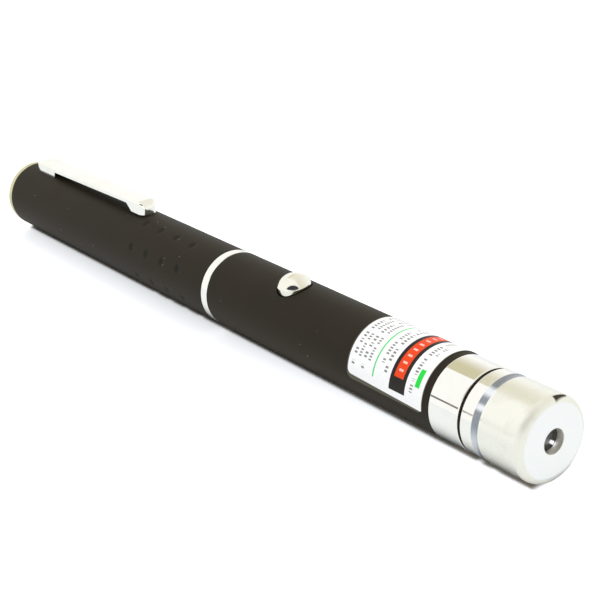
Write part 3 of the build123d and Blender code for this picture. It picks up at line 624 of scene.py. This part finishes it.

# %% [markdown]
# The pocket clip is one strip of spring steel, pressed into a channel: a flat top, two short side
# walls, closed at both ends. At its rear the walls go down to the tube, then they stop at a small
# foot and the arm runs free, until the walls go down again at the rounded tip. It is drawn as a
# skin of cross sections, one for each place along the pen, and then given the sheet's thickness.
# The real one bends where it leaves the foot, and the arm rises a little from there towards its tip.

# %% Pocket clip
CLIP_TURN = math.radians(9.5)
CLIP_REAR, CLIP_BEND, CLIP_FRONT, CLIP_TIP = -73.9, -66.2, -30.3, -36.2
CLIP_HALF, CLIP_SHEET, CLIP_WALL, CLIP_MIDDLE = 1.95, 0.45, 1.05, -50.0
CLIP_FOOT, CLIP_TOE, CLIP_TOP, CLIP_RISE = BODY - 0.24, BODY + 0.28, BODY + 2.2, 0.7
CLIP_STEP, CLIP_SLOPE, OUTER_BEND, INNER_BEND = 0.4, 1.7, 0.55, 0.12
REAR_ROUND, FRONT_ROUND = 0.5, 1.6


def clip_section(x):
    """Top and lower edge of the clip's skin at a place along the pen."""
    top = CLIP_TOP + CLIP_RISE * max(0.0, (x - CLIP_BEND) / (CLIP_FRONT - CLIP_BEND))
    low = top - CLIP_WALL
    if x < CLIP_BEND - CLIP_STEP:
        low = CLIP_FOOT
    elif x < CLIP_BEND:
        low = CLIP_FOOT + (low - CLIP_FOOT) * (x - CLIP_BEND + CLIP_STEP) / CLIP_STEP
    if x > CLIP_TIP:
        low = low + (CLIP_TOE - low) * min(1.0, (x - CLIP_TIP) / CLIP_SLOPE)
    return top, low


def clip_places():
    """Places along the pen, each with how full its section is, and the rounding of that end."""
    rear = [
        (CLIP_REAR + REAR_ROUND * (1 - math.cos(a)), math.sin(a), REAR_ROUND)
        for a in (0.0, 0.3, 0.6, 0.9, 1.2, math.pi / 2)
    ]
    middle = [CLIP_REAR + v for v in (1.1, 2.5, 4.0, 5.4)]
    middle += [CLIP_BEND + v for v in (-1.2, -0.45, -0.4, -0.2, 0.0, 0.4)]
    middle += run(CLIP_BEND + 1.0, CLIP_TIP - 0.9, 1.5)
    middle += [CLIP_TIP + v for v in (-0.3, 0.0, 0.3, 0.9, 1.3, 1.7, 2.1, 3.1, 4.1)]
    front = [
        (CLIP_FRONT - FRONT_ROUND * (1 - math.cos(a)), math.sin(a), FRONT_ROUND)
        for a in (math.pi / 2, 1.35, 1.15, 0.95, 0.75, 0.55, 0.35, 0.17, 0.0)
    ]
    return rear + [(x, 1.0, REAR_ROUND) for x in middle] + front


def clip_skin(inset, rounding):
    """Rows of points over the strip's skin, or over its inner side when inset is the sheet."""
    rows = []
    for x, fullness, ends in clip_places():
        top, low = clip_section(x)
        ends = max(ends - inset, 0.05)
        half = CLIP_HALF - inset - 0.75 * ends * (1 - fullness)
        top = top - inset - ends * (1 - fullness)
        along = min(max(x, CLIP_REAR + inset), CLIP_FRONT - inset)
        if inset and fullness < 1:
            face = CLIP_REAR + inset if x < CLIP_MIDDLE else CLIP_FRONT - inset
            along = face + math.copysign(ends * (1 - math.sqrt(1 - fullness**2)), CLIP_MIDDLE - x)
        side = [(half, low + (top - rounding - low) * k / 4) for k in range(4)]
        bend = [
            (half - rounding + rounding * math.cos(a), top - rounding + rounding * math.sin(a))
            for a in [math.pi / 2 * k / 5 for k in range(6)]
        ]
        right = side + bend + [((half - rounding) * k / 3, top) for k in (2, 1)]
        rows.append(
            [(along, v, h) for v, h in right] + [(along, 0.0, top)] + [(along, -v, h) for v, h in right[::-1]]
        )
    return rows


def skin_faces(rows, width, base):
    """The faces of one skin, with its two end walls."""
    faces = grid(rows, width, base)
    half = width // 2
    for start in (base, base + (rows - 1) * width):
        last = start + width - 1
        faces += [(start + j, start + j + 1, last - 1 - j, last - j) for j in range(half - 1)]
        faces.append((start + half - 1, start + half, start + half + 1))
    return faces


def clip_mesh(paint):
    outer, inner = clip_skin(0.0, OUTER_BEND), clip_skin(CLIP_SHEET, INNER_BEND)
    rows, width = len(outer), len(outer[0])
    lean, rise = math.sin(CLIP_TURN), math.cos(CLIP_TURN)
    spots = [(x, v * rise + h * lean, AXIS + h * rise - v * lean) for row in outer + inner for x, v, h in row]
    deep = rows * width
    faces = skin_faces(rows, width, 0) + skin_faces(rows, width, deep)
    edge = [i * width for i in range(rows)] + [i * width + width - 1 for i in reversed(range(rows))]
    for a, b in zip(edge, edge[1:] + edge[:1]):
        faces.append((a, b, deep + b, deep + a))
    return new_piece("clip_bright", spots, faces, paint, 40.0)


clip = clip_mesh(CLIP_CHROME)
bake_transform(clip)
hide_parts("clip_base", "clip_arm")
print(clip.name, len(clip.data.polygons), "faces")

# %% [markdown]
# Behind the front cap sits the brass housing of the laser module. It holds the diode, the
# crystal and the lenses in one line, and its front end carries the fine thread that the cap
# turns on. Brass here is bare and turned, so it gets the same rings as the bright pieces, in its
# own colour and less gloss.

# %% Module housing
BRIGHT_BRASS, DULL_BRASS = (0.83, 0.62, 0.26), (0.52, 0.36, 0.14)
BRASS = plating("module_brass", BRIGHT_BRASS, DULL_BRASS, 0.22, 0.006, 0.6)
HOUSING_START = round(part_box("module_housing")[0][0] / MM, 3)
DIODE_SEAT, CRYSTAL_SEAT, LENS_SEAT = HOUSING_START + 1.2, HOUSING_START + 3.9, HOUSING_START + 8.9
DIODE_BORE, LIGHT_HOLE, CRYSTAL_BORE, LENS_BORE, GROOVE = 2.8, 2.2, 3.5, 4.2, 0.3


def housing_brass():
    """Turned brass, with painted shade: dark and dull where the neck shows in the narrow gap between the nose
    ring and the cap.
    """
    made, tree = material("module_brass_neck")
    _, along, out, _ = place_on_pen(tree)
    rings = noise(tree, vector(tree, x=along + out), 9.0, 4.0, 0.7)
    # Painted shade in the gap between the nose ring and the cap.
    painted_gap_shade = along.band(NOSE_END - 0.5, CAP_START + 0.1, 0.05) * out.step(4.5, 4.6)
    colour = painted_gap_shade.mix(rings.mix(BRIGHT_BRASS, DULL_BRASS), (0.040, 0.028, 0.016))
    rough = 0.24 + painted_gap_shade * 0.36 + rings * 0.08
    return finish(made, tree, colour, rough, 1 - painted_gap_shade, bump(tree, rings, 0.25, 0.006))


def housing_wave(along, radius, turns):
    ridge = thread(along, turns, CAP_THREAD_PITCH)
    cut = np.clip((along - (CAP_START + 0.15)) / 0.4, 0, 1)
    return on_wall(radius, HOUSING_RADIUS, HOUSING_RADIUS - GROOVE * cut * (1 - ridge))


housing = lathe(
    "module_housing_turned",
    [
        (HOUSING_START, HOUSING_RADIUS - 0.15), (HOUSING_START + 0.15, HOUSING_RADIUS),
        (HOUSING_START + 15.0, HOUSING_RADIUS),
    ]
    + [(x, HOUSING_RADIUS) for x in run(CAP_START - 0.3, THREAD_END - 0.2, 0.09)]
    + [
        (THREAD_END, 5.5), (THREAD_END, LENS_BORE), (LENS_SEAT, LENS_BORE), (LENS_SEAT, CRYSTAL_BORE),
        (CRYSTAL_SEAT, CRYSTAL_BORE), (CRYSTAL_SEAT, LIGHT_HOLE), (DIODE_SEAT, LIGHT_HOLE),
        (DIODE_SEAT, DIODE_BORE), (HOUSING_START, DIODE_BORE),
    ],
    housing_brass(), steps=192, wave=housing_wave,
)
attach(housing, "front_body")
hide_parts("module_housing")
print(housing.name, len(housing.data.polygons), "faces")

# %% [markdown]
# The sticker is a thin laminated film, wrapped half way round the barrel in front of the
# button. A flat plane bent in the shader would have no edge, so the film is real: a tenth of a
# millimetre thick, with round corners that follow the barrel. Its print is generic: rows of plain
# ticks, a green line, a green block, and a dark stripe with a red bar.

# %% Sticker film
FILM_START, FILM_END, FILM_CORNER, FILM, PRINT_CORNER = 40.45, 58.85, 1.2, 0.1, 0.8
FILM_HALF = math.radians(88.5) * (BODY + FILM)
TICK_ROWS = (
    # places along, start and end round the barrel, height, period, seed
    ((1.1, 3.5), -7.6, 8.3, 0.62, 0.62, 1.0),
    ((2.3, 4.7), -8.3, 6.6, 0.55, 0.5, 2.0),
    ((7.7,), -7.4, 7.9, 0.6, 0.55, 3.0),
    ((8.9,), -8.6, 7.2, 0.6, 0.66, 4.0),
    ((15.2,), -6.0, 8.9, 0.62, 0.58, 5.0),
    ((16.4,), -7.0, 1.2, 0.5, 0.5, 6.0),
)


def film_limits(arc):
    """How far the film's end is pulled in at a place round the barrel, by its round corner."""
    past = abs(arc) - (FILM_HALF - FILM_CORNER)
    if past <= 0:
        return 0.0
    return FILM_CORNER - math.sqrt(max(0.0, FILM_CORNER**2 - past**2))


def film_mesh(paint):
    near = [1 - math.cos(a) for a in np.linspace(0, math.pi / 2, 9)]
    edge = [-FILM_HALF + FILM_CORNER * v for v in near]
    arcs = edge + run(edge[-1], -edge[-1], 0.3)[1:-1] + [-v for v in edge[::-1]]
    shares = [0.0, 0.003, 0.012, 0.05] + np.linspace(0.1, 0.9, 9).tolist() + [0.95, 0.988, 0.997, 1.0]
    outer, inner = [], []
    for i, arc in enumerate(arcs):
        inset = film_limits(arc)
        turn = arc / (BODY + FILM)
        for share in shares:
            x = FILM_START + inset + (FILM_END - FILM_START - 2 * inset) * share
            rim = i in (0, len(arcs) - 1) or share in (0.0, 1.0)
            for layer, r in ((outer, BODY + FILM - (0.025 if rim else 0.0)), (inner, BODY - 0.01)):
                layer.append((x, -r * math.sin(turn), AXIS + r * math.cos(turn)))
    width, deep = len(shares), len(outer)
    faces = grid(len(arcs), width) + [face[::-1] for face in grid(len(arcs), width, deep)]
    for base in (0, (len(arcs) - 1) * width):
        faces += [(base + j, base + j + 1, deep + base + j + 1, deep + base + j) for j in range(width - 1)]
    for base in (0, width - 1):
        ends = [i * width + base for i in range(len(arcs))]
        faces += [(a, b, deep + b, deep + a) for a, b in zip(ends, ends[1:])]
    return new_piece("sticker_film", outer + inner, faces, paint, 50.0)


def film_paint():
    made, tree = material("printed_film")
    point, along, _, turn = place_on_pen(tree)
    arc = turn * math.radians(BODY + FILM)
    x = along - FILM_START
    far_end = FILM_END - FILM_START

    def ticks(places, start, end, height, period, seed):
        """Rows of short ticks that run round the barrel, in uneven groups."""
        groups = noise(tree, vector(tree, x=arc, y=seed * 7.7), 0.9, 1.0).step(0.44, 0.47)
        beat = tree.reckon("SINE", arc * (2 * math.pi / period) + seed)
        rows = sum(x.band(place, place + height, 0.06) for place in places)
        return rows * (beat.step(-0.35, -0.05) * groups) * arc.band(start, end, 0.1)

    print_grey = sum(ticks(*row) for row in TICK_ROWS)
    green_line = x.band(6.35, 6.6, 0.06) * arc.band(-8.8, 8.8, 0.05)
    stripe = x.band(10.5, 14.2, 0.05) * arc.band(-9.4, 9.4, 0.05)
    bar = x.band(11.3, 13.4, 0.06) * arc.band(-6.6, 7.0, 0.08)
    scale = tree.reckon("SINE", arc * (2 * math.pi / 1.36)).step(0.55, 0.75) * x.band(11.9, 12.8, 0.06)
    scale = scale * arc.band(-5.9, 6.3, 0.05)
    block = x.band(16.2, 17.2, 0.05) * arc.band(4.2, 7.2, 0.06)

    inwards = FILM_HALF - tree.reckon("ABSOLUTE", arc) - (0.95 - x * (0.6 / far_end))
    from_end = tree.reckon("MAXIMUM", PRINT_CORNER + 0.27 - x, 0.0)
    from_side = tree.reckon("MAXIMUM", PRINT_CORNER - inwards, 0.0)
    in_corner = PRINT_CORNER - distance(tree, from_end, from_side)
    printed = in_corner.step(-0.05, 0.05) * (far_end - x).step(0.12, 0.22)
    paper = noise(tree, point, 3000.0).step(0.3, 0.7).mix((0.93, 0.93, 0.92), (0.895, 0.895, 0.88))
    colour = (print_grey * 0.8).mix(paper, (0.09, 0.08, 0.055))
    colour = green_line.mix(colour, (0.08, 0.62, 0.14))
    colour = stripe.mix(colour, (0.014, 0.011, 0.008))
    colour = bar.mix(colour, (0.80, 0.055, 0.004))
    colour = (scale * 0.75).mix(colour, (0.92, 0.70, 0.62))
    colour = block.mix(colour, (0.015, 0.68, 0.06))
    colour = printed.mix((0.085, 0.078, 0.05), colour)
    waviness = noise(tree, point, 420.0, 2.0)
    normal = bump(tree, waviness, 0.2, 0.02)
    return finish(made, tree, colour, 0.34 + waviness * 0.1, 0.0, normal, {"Specular IOR Level": 0.2})


film = film_mesh(film_paint())
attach(film, "front_body")
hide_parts("label")
print(film.name, len(film.data.polygons), "faces")

# %% [markdown]
# Both springs are wound wire. Each starts with half a flat coil that sits on its seat and then
# climbs as it narrows, so the wire's middle line is a cone's spiral, and a small circle is swept along
# it. The ends of the wire are cut and slightly rounded.

# %% Springs
def wound_wire(name, base, tip, wire, paint, base_radius, tip_radius, turns):
    """Wire of a given radius, wound round the pen's middle line from base to tip."""
    count, sides = int(turns * 40), 14
    share = np.linspace(0.0, 1.0, count)
    climb = np.clip((share * turns - 0.5) / (turns - 0.5), 0, 1)
    turn = share * turns * 2 * math.pi
    middle_x = base + (tip - base) * climb
    middle_r = base_radius + (tip_radius - base_radius) * climb
    middle = np.stack([middle_x, -middle_r * np.sin(turn), AXIS + middle_r * np.cos(turn)], axis=1)
    tangent = np.gradient(middle, axis=0)
    tangent /= np.linalg.norm(tangent, axis=1)[:, None]
    outwards = np.stack([np.zeros(count), -np.sin(turn), np.cos(turn)], axis=1)
    outwards -= tangent * (outwards * tangent).sum(1)[:, None]
    outwards /= np.linalg.norm(outwards, axis=1)[:, None]
    sideways = np.cross(tangent, outwards)
    spots = []
    for i in range(count):
        worn = wire * (0.75 if i in (0, count - 1) else 1.0)
        for k in range(sides):
            a = 2 * math.pi * k / sides
            ring = math.cos(a) * outwards[i] + math.sin(a) * sideways[i]
            spots.append(tuple(middle[i] + worn * ring))
    faces = grid(count, sides, around=True)
    faces += [tuple(range(sides)), tuple((count - 1) * sides + k for k in range(sides))[::-1]]
    return new_piece(name, spots, faces, paint, 50.0)


def spring_ends(node, wire):
    """The lowest and highest place of a spring's middle line along the pen."""
    low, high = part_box(node)
    return low[0] / MM + wire, high[0] / MM - wire


def spring_wire():
    made, tree = material("spring_wire")
    _, along, out, _ = place_on_pen(tree)
    drawn = noise(tree, vector(tree, x=out, y=along), 14.0, 3.0)
    colour = drawn.step(0.3, 0.7).mix((0.62, 0.60, 0.56), (0.42, 0.40, 0.36))
    return finish(made, tree, colour, 0.24 + drawn * 0.14, 1.0, bump(tree, drawn, 0.2, 0.004))


SPRING, TAIL_WIRE, CONTACT_WIRE = spring_wire(), 0.3, 0.25
rear, front = spring_ends("tail_spring", TAIL_WIRE)
tail_spring = wound_wire(
    "tail_spring_wire", rear, front, TAIL_WIRE, SPRING, base_radius=4.0, tip_radius=2.4, turns=3.25
)
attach(tail_spring, "rear_body")
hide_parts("tail_spring")
rear, front = spring_ends("contact_spring", CONTACT_WIRE)
contact_spring = wound_wire(
    "contact_spring_wire", front, rear, CONTACT_WIRE, SPRING, base_radius=2.95, tip_radius=1.25, turns=2.75
)
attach(contact_spring, "front_body")
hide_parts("contact_spring")
print("springs:", len(tail_spring.data.polygons), "and", len(contact_spring.data.polygons), "faces")

# %% [markdown]
# The other solids already have their final form, so they only need their finish. Most are
# ordinary electronic parts. One mottled recipe covers the moulded and painted ones, because what
# tells them apart is colour, gloss and grain. The metals use the plating recipe again, and the
# optical parts are clear.

# %% Finishes of the inner parts
def mottled(name, light, dark, rough, grain, depth_mm, metallic=0.0, coat=0.0):
    made, tree = material(name)
    point = tree.node("ShaderNodeTexCoord", output="Object")
    coarse = noise(tree, point, grain, 3.0)
    fine = noise(tree, point, grain * 9.0, 2.0)
    colour = (coarse * 0.7 + fine * 0.3).step(0.35, 0.65).mix(light, dark)
    rough = rough + (coarse - 0.5) * 0.1
    return finish(made, tree, colour, rough, metallic, bump(tree, fine, 0.3, depth_mm), {"Coat Weight": coat})


CLEAR = {"Transmission Weight": 1.0, "IOR": 1.5}


def clear_part(name, tint, edge_tint, rough):
    """Glass or crystal, with a ground, greyer look towards its edge."""
    made, tree = material(name)
    point, _, out, _ = place_on_pen(tree)
    cloud = noise(tree, point, 500.0, 2.0)
    colour = out.step(2.0, 3.5).mix(tint, edge_tint)
    return finish(made, tree, colour, rough + cloud * 0.02, more=CLEAR)


def window_glass():
    """The clear window, with a painted glint: the small bright image of a lamp, drawn as emission, and a
    fainter one beside it.
    """
    made, tree = material("window_glass")
    point, _, out, _ = place_on_pen(tree)
    across, height = [part * IN_MM for part in split(tree, point)[1:]]
    # Painted glint: two small spots on the window glow, standing in for the image of a lamp.
    right, up = across - 1.02, height - AXIS + 1.39
    painted_second_glint = 1 - distance(tree, right + 0.85, up - 0.55).step(0.1, 0.6)
    painted_glint = 1 - distance(tree, right, up).step(0.22, 0.42) + painted_second_glint * 0.12
    glass = out.step(2.0, 3.5).mix((0.97, 0.99, 0.97), (0.78, 0.86, 0.82))
    painted_glint_emission = {"Emission Strength": 1.0, "Emission Color": painted_glint.mix((0.0, 0.0, 0.0), (0.95, 0.93, 1.0))}
    return finish(made, tree, glass, 0.02, more={**CLEAR, **painted_glint_emission})


def trimmer_paint():
    """A pale moulded body; what stands above it is the metal dial."""
    made, tree = material("trimmer_body")
    point = tree.node("ShaderNodeTexCoord", output="Object")
    height = split(tree, point)[2] * IN_MM - AXIS
    dial = height.step(1.0, 1.02)
    grain = noise(tree, point, 900.0, 3.0)
    body = grain.mix((0.88, 0.88, 0.83), (0.76, 0.76, 0.70))
    metal = grain.mix((0.80, 0.72, 0.50), (0.62, 0.54, 0.36))
    return finish(made, tree, dial.mix(body, metal), 0.5 - dial * 0.22, dial, bump(tree, grain, 0.3, 0.008))


def resistor_paint():
    """Dark ceramic with tinned ends, told apart by the distance from the middle of the row."""
    made, tree = material("resistor_body")
    point, along, _, _ = place_on_pen(tree)
    low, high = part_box("resistors")
    middle, reach = (low[0] + high[0]) / 2 * IN_MM, (high[0] - low[0]) / 2 * IN_MM
    tinned = tree.reckon("ABSOLUTE", along - middle).step(reach - 0.42, reach - 0.38)
    grain = noise(tree, point, 1500.0, 3.0)
    ceramic = grain.mix((0.03, 0.03, 0.035), (0.08, 0.08, 0.085))
    colour = tinned.mix(ceramic, grain.mix((0.74, 0.73, 0.70), (0.56, 0.55, 0.52)))
    return finish(made, tree, colour, 0.42 - tinned * 0.12, tinned, bump(tree, grain, 0.3, 0.006))


def cell_film_paint():
    """Plain shrunk film, grey-blue, with one pale band near each cell's raised end."""
    made, tree = material("cell_film")
    point, along, _, _ = place_on_pen(tree)
    ends = [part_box(cell)[1][0] * IN_MM for cell in ("rear_cell_sleeve", "front_cell_sleeve")]
    pale = sum(along.band(end - 9.0, end - 2.0, 0.08) for end in ends)
    ripple = noise(tree, point, 300.0, 3.0)
    colour = pale.mix(ripple.mix((0.27, 0.31, 0.36), (0.33, 0.37, 0.41)), (0.72, 0.73, 0.72))
    normal = bump(tree, ripple, 0.25, 0.01)
    return finish(made, tree, colour, 0.28 + ripple * 0.08, 0.0, normal, {"Coat Weight": 0.4})


def board_paint():
    made, tree = material("board_lacquer")
    point = tree.node("ShaderNodeTexCoord", output="Object")
    weave = tree.node(
        "ShaderNodeTexWave", {"bands_direction": "X"}, {"Vector": point, "Scale": 420.0, "Distortion": 0.6}
    )
    lines = noise(tree, point, 260.0, 0.0).band(0.49, 0.53, 0.015)
    colour = weave.step(0.2, 0.8).mix((0.012, 0.105, 0.035), (0.016, 0.13, 0.045))
    colour = (lines * 0.55).mix(colour, (0.045, 0.24, 0.09))
    return finish(made, tree, colour, 0.3, 0.0, bump(tree, lines, 0.4, 0.03), {"Coat Weight": 0.4})


MOULDED = {
    # light, dark, roughness, grain, its depth in mm, metallic, coat
    "black_moulding": ((0.018, 0.018, 0.019), (0.032, 0.032, 0.033), 0.45, 900.0, 0.01),
    "capacitor_resin": ((0.72, 0.33, 0.06), (0.60, 0.26, 0.05), 0.38, 800.0, 0.01, 0.0, 0.2),
    "lens_black": ((0.026, 0.026, 0.031), (0.042, 0.042, 0.048), 0.32, 900.0, 0.004),
    "switch_steel": ((0.66, 0.65, 0.62), (0.50, 0.49, 0.46), 0.25, 600.0, 0.004, 1.0),
    "plunger_plastic": ((0.045, 0.045, 0.047), (0.07, 0.07, 0.072), 0.4, 900.0, 0.006),
    "insulator": ((0.80, 0.78, 0.70), (0.70, 0.68, 0.60), 0.55, 700.0, 0.01),
    "cell_filling": ((0.05, 0.05, 0.052), (0.09, 0.088, 0.085), 0.8, 1200.0, 0.02),
    "cell_seal": ((0.10, 0.10, 0.10), (0.16, 0.16, 0.155), 0.5, 900.0, 0.01),
}
FINISHES = {
    "barrel_paint": BARREL_PAINT,
    "module_brass": BRASS,
    "diode_gold": plating("diode_gold", (0.95, 0.72, 0.34), (0.78, 0.55, 0.22), 0.16, 0.003, 0.5),
    "crystal": clear_part("laser_crystal", (0.86, 0.80, 0.95), (0.70, 0.62, 0.85), 0.02),
    "filter_glass": clear_part("filter_glass", (0.55, 0.86, 0.82), (0.40, 0.70, 0.66), 0.02),
    "lens_glass": clear_part("lens_glass", (0.97, 0.99, 0.97), (0.78, 0.86, 0.82), 0.01),
    "board_green": board_paint(),
    "trimmer_body": trimmer_paint(),
    "resistor_body": resistor_paint(),
    "cell_steel": plating("cell_steel", (0.72, 0.71, 0.69), (0.52, 0.51, 0.49), 0.2, 0.004, 0.5),
    "cell_film": cell_film_paint(),
}
for name, look in MOULDED.items():
    FINISHES[name] = mottled(name, *look)
NODES_OF = {
    "barrel_paint": ["front_barrel"],
    "module_brass": ["crystal_mount"],
    "lens_black": ["lens_barrel", "lens_lock_ring"],
    "diode_gold": ["pump_diode", "diode_can", "diode_leads"],
    "crystal": ["laser_crystal"],
    "filter_glass": ["filter_plate"],
    "lens_glass": ["expander_lens", "collimating_lens", "cap_window"],
    "board_green": ["driver_board"],
    "black_moulding": ["driver_chip", "transistor", "switch_base"],
    "trimmer_body": ["trimmer"],
    "capacitor_resin": ["capacitor"],
    "resistor_body": ["resistors"],
    "switch_steel": ["switch_cover", "switch_pins", "earth_tab"],
    "plunger_plastic": ["switch_plunger"],
    "insulator": ["contact_carrier"],
}
for cell in ("rear_cell_", "front_cell_"):
    for slot, ends in (
        ("cell_steel", ("can", "terminal")), ("cell_filling", ("core",)),
        ("cell_film", ("sleeve",)), ("cell_seal", ("seal",)),
    ):
        NODES_OF[slot] = NODES_OF.get(slot, []) + [cell + end for end in ends]
for slot, names in NODES_OF.items():
    for node in [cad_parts[name] for name in names]:
        node.data.materials.clear()
        node.data.materials.append(FINISHES[slot])
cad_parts["cap_window"].data.materials[0] = window_glass()
finished = sum(NODES_OF.values(), [])
bare = [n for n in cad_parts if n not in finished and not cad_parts[n].hide_render]
print("finished", len(finished), "solids; still bare:", bare)

# %% [markdown]
# Bright metal shows its surroundings, so the studio is made for reflections as much as for
# light. To the camera the backdrop is plain white. To a mirror it is a white tent with one warm
# panel that ends in a hard edge, and a thin dark seam lower down on the viewer's side, both drawn
# by the direction's turn round the pen's own line. The gap that the viewer looks through is dark,
# and the domed button shows it. The gap ends at a level lower edge, with one small bright lamp
# below, so that the clip's flat top stays bright from behind. To matte surfaces it is one level.

# %% Studio backdrop
world = bpy.data.worlds.new("studio")
bpy.context.scene.world = world
world.use_nodes = True
world.node_tree.nodes.clear()
sky = Wire(world.node_tree)
direction = sky.node("ShaderNodeTexCoord", output="Generated")
dx, dy, dz = split(sky, direction)
swing = sky.reckon("ARCTAN2", -dy, dz) * (180 / math.pi)
beside = dx.step(-0.75, -0.70) * (1 - dx.step(-0.646, -0.641) * 0.6)
warm_panel = swing.step(-85.0, -30.0) * (1 - swing.step(-10.5, -8.5)) * beside
seam = swing.band(71.5, 75.5, 0.6) * dx.step(-0.76, -0.72) * (1 - dx.step(-0.647, -0.643))
tent = warm_panel.mix((1.05, 1.05, 1.04), (0.66, 0.62, 0.42))
tent = (seam * 0.85).mix(tent, (0.05, 0.04, 0.03))


def towards(place):
    """How far the direction goes towards a place: 1 is straight at it."""
    place = tuple(Vector(place).normalized())
    sockets = {0: direction, 1: place}
    return sky.node("ShaderNodeVectorMath", {"operation": "DOT_PRODUCT"}, sockets, output="Value")


gap_middle = Vector((0.496, -0.498, 0.711)).normalized()
gap_along = Vector((0.716, 0.693, 0.078))
gap_up = gap_middle.cross(gap_along).normalized()
gap_u, gap_v = towards(gap_along) + 0.04, towards(gap_up) + 0.06
gap = sky.reckon("SQRT", gap_u * gap_u * 2.5 + gap_v * gap_v * 5.2)
gap = (1 - gap.step(0.92, 1.08)) * towards(gap_middle).step(0.0, 0.1) * dz.step(0.60, 0.64)
tent = (gap * 0.97).mix(tent, (0.012, 0.014, 0.03))
tent = towards((0.716, -0.50, 0.49)).step(0.9955, 0.997).mix(tent, (1.6, 1.6, 1.6))


def backdrop_shade(colour, strength):
    return sky.node("ShaderNodeBackground", {}, {"Color": colour, "Strength": strength})


matte_light = backdrop_shade((0.96, 0.975, 1.0, 1.0), 1.0)
mirrored = backdrop_shade(tent, 1.0)
lit = sky.node("ShaderNodeMixShader", {}, {0: ray(sky, "Is Glossy Ray"), 1: matte_light, 2: mirrored})
seen = sky.reckon("MAXIMUM", ray(sky, "Is Camera Ray"), ray(sky, "Is Transmission Ray"))
white = backdrop_shade((1.0, 1.0, 1.0, 1.0), 1.0)
backdrop = sky.node("ShaderNodeMixShader", {}, {0: seen, 1: lit, 2: white})
sky.node("ShaderNodeOutputWorld", {}, {"Surface": backdrop})
print("backdrop nodes:", len(world.node_tree.nodes))

# %% [markdown]
# One broad soft lamp stands high on the far side of the pen, so that the pen's shadow falls a
# little towards the viewer. It is kept out of reflections, because the tent already draws them.

# %% Lamp
lamp_data = bpy.data.lights.new("soft_lamp", "AREA")
lamp_data.shape, lamp_data.size = "DISK", 0.5
lamp_data.energy = 2.2
lamp_data.color = (1.0, 0.985, 0.955)
lamp = bpy.data.objects.new("soft_lamp", lamp_data)
lamp.location = (0.10, 0.30, 0.80)
lamp.rotation_euler = (Vector((0.0, 0.0, 0.0)) - lamp.location).to_track_quat("-Z", "Y").to_euler()
lamp.visible_glossy = False
bpy.context.scene.collection.objects.link(lamp)
print("lamp", round(lamp.location.length, 2), "m away")

# %% [markdown]
# The floor is a wide plain disc under the pen. In the picture only the shadow shows: the lit floor is as
# white as the backdrop, so it needs a touch of its own light, faintly blue, which is also what tints the
# shadow. Close to the pen a dark contact shadow is painted into the floor's colour, and its own light is
# taken away there. In the bright pieces the floor shows a painted shade, a clear grey line where the pen
# touches it, fading to white away from it: the colour that a mirror sees is set by how closed in the floor
# is, and it is painted bright in front of the cap.

# %% Floor
FLOOR_RADIUS, FLOOR_CORNERS = 3000.0, 96
CONTACT_REACH, SHADE_REACH = 0.00128, 0.025


def shut_in(tree, reach):
    """0 where the floor is closed in within the reach in metres, and 1 where it is open."""
    return tree.node("ShaderNodeAmbientOcclusion", {"samples": 8}, {"Distance": reach}, output="AO")


def floor_paper():
    made, tree = material("floor_paper")
    point = tree.node("ShaderNodeTexCoord", output="Object")
    along = split(tree, point)[0] * IN_MM
    # Painted shadow: where the pen closes the floor in, its colour turns dark brown, darker towards the tail,
    # and its own light is taken away; that light is also weaker towards the tail. From the front of the cap
    # on, none is painted.
    contact = shut_in(tree, CONTACT_REACH)
    open_floor = tree.reckon("MAXIMUM", contact.step(0.62, 0.95), along.step(CAP_END - 2.4, CAP_END - 0.6))
    painted_contact_shadow = along.step(15.0, 65.0).mix((0.12, 0.105, 0.08), (0.32, 0.28, 0.23))
    matte = tree.node("ShaderNodeBsdfDiffuse", {}, {"Color": open_floor.mix(painted_contact_shadow, (0.86, 0.86, 0.86))})
    glow_with_painted_shadow = open_floor * (0.48 + along.step(-20.0, 75.0) * 0.32)
    glow = tree.node("ShaderNodeEmission", {}, {"Color": glow_with_painted_shadow.mix((0.0, 0.0, 0.0), (0.95, 0.975, 1.0))})
    seen_floor = tree.node("ShaderNodeAddShader", {}, {0: matte, 1: glow})
    # Painted shade for mirrors: the floor that reflections see glows dark where the pen closes it in and
    # white away from it, and it is painted bright in front of the cap.
    openness = shut_in(tree, SHADE_REACH)
    painted_mirror_shade = 0.05 + openness.step(0.40, 0.58) * 0.68 + openness.step(0.6, 0.8) * 0.25
    painted_mirror_shade = tree.reckon("MAXIMUM", painted_mirror_shade, along.step(CAP_END - 1.0, CAP_END + 2.0) * 0.95)
    mirrored = tree.node("ShaderNodeEmission", {}, {"Color": painted_mirror_shade.mix((0.0, 0.0, 0.0), (0.96, 0.99, 1.0))})
    mixed = tree.node("ShaderNodeMixShader", {}, {0: ray(tree, "Is Diffuse Ray"), 1: seen_floor, 2: matte})
    mixed = tree.node("ShaderNodeMixShader", {}, {0: ray(tree, "Is Glossy Ray"), 1: mixed, 2: mirrored})
    tree.node("ShaderNodeOutputMaterial", {}, {"Surface": mixed})
    return made


corners = [2 * math.pi * k / FLOOR_CORNERS for k in range(FLOOR_CORNERS)]
spots = [(0.0, 0.0, 0.0)] + [(FLOOR_RADIUS * math.cos(a), FLOOR_RADIUS * math.sin(a), 0.0) for a in corners]
faces = [(0, 1 + k, 1 + (k + 1) % FLOOR_CORNERS) for k in range(FLOOR_CORNERS)]
floor = new_piece("floor", spots, faces, floor_paper())
print("floor", floor.dimensions.x, "m wide")
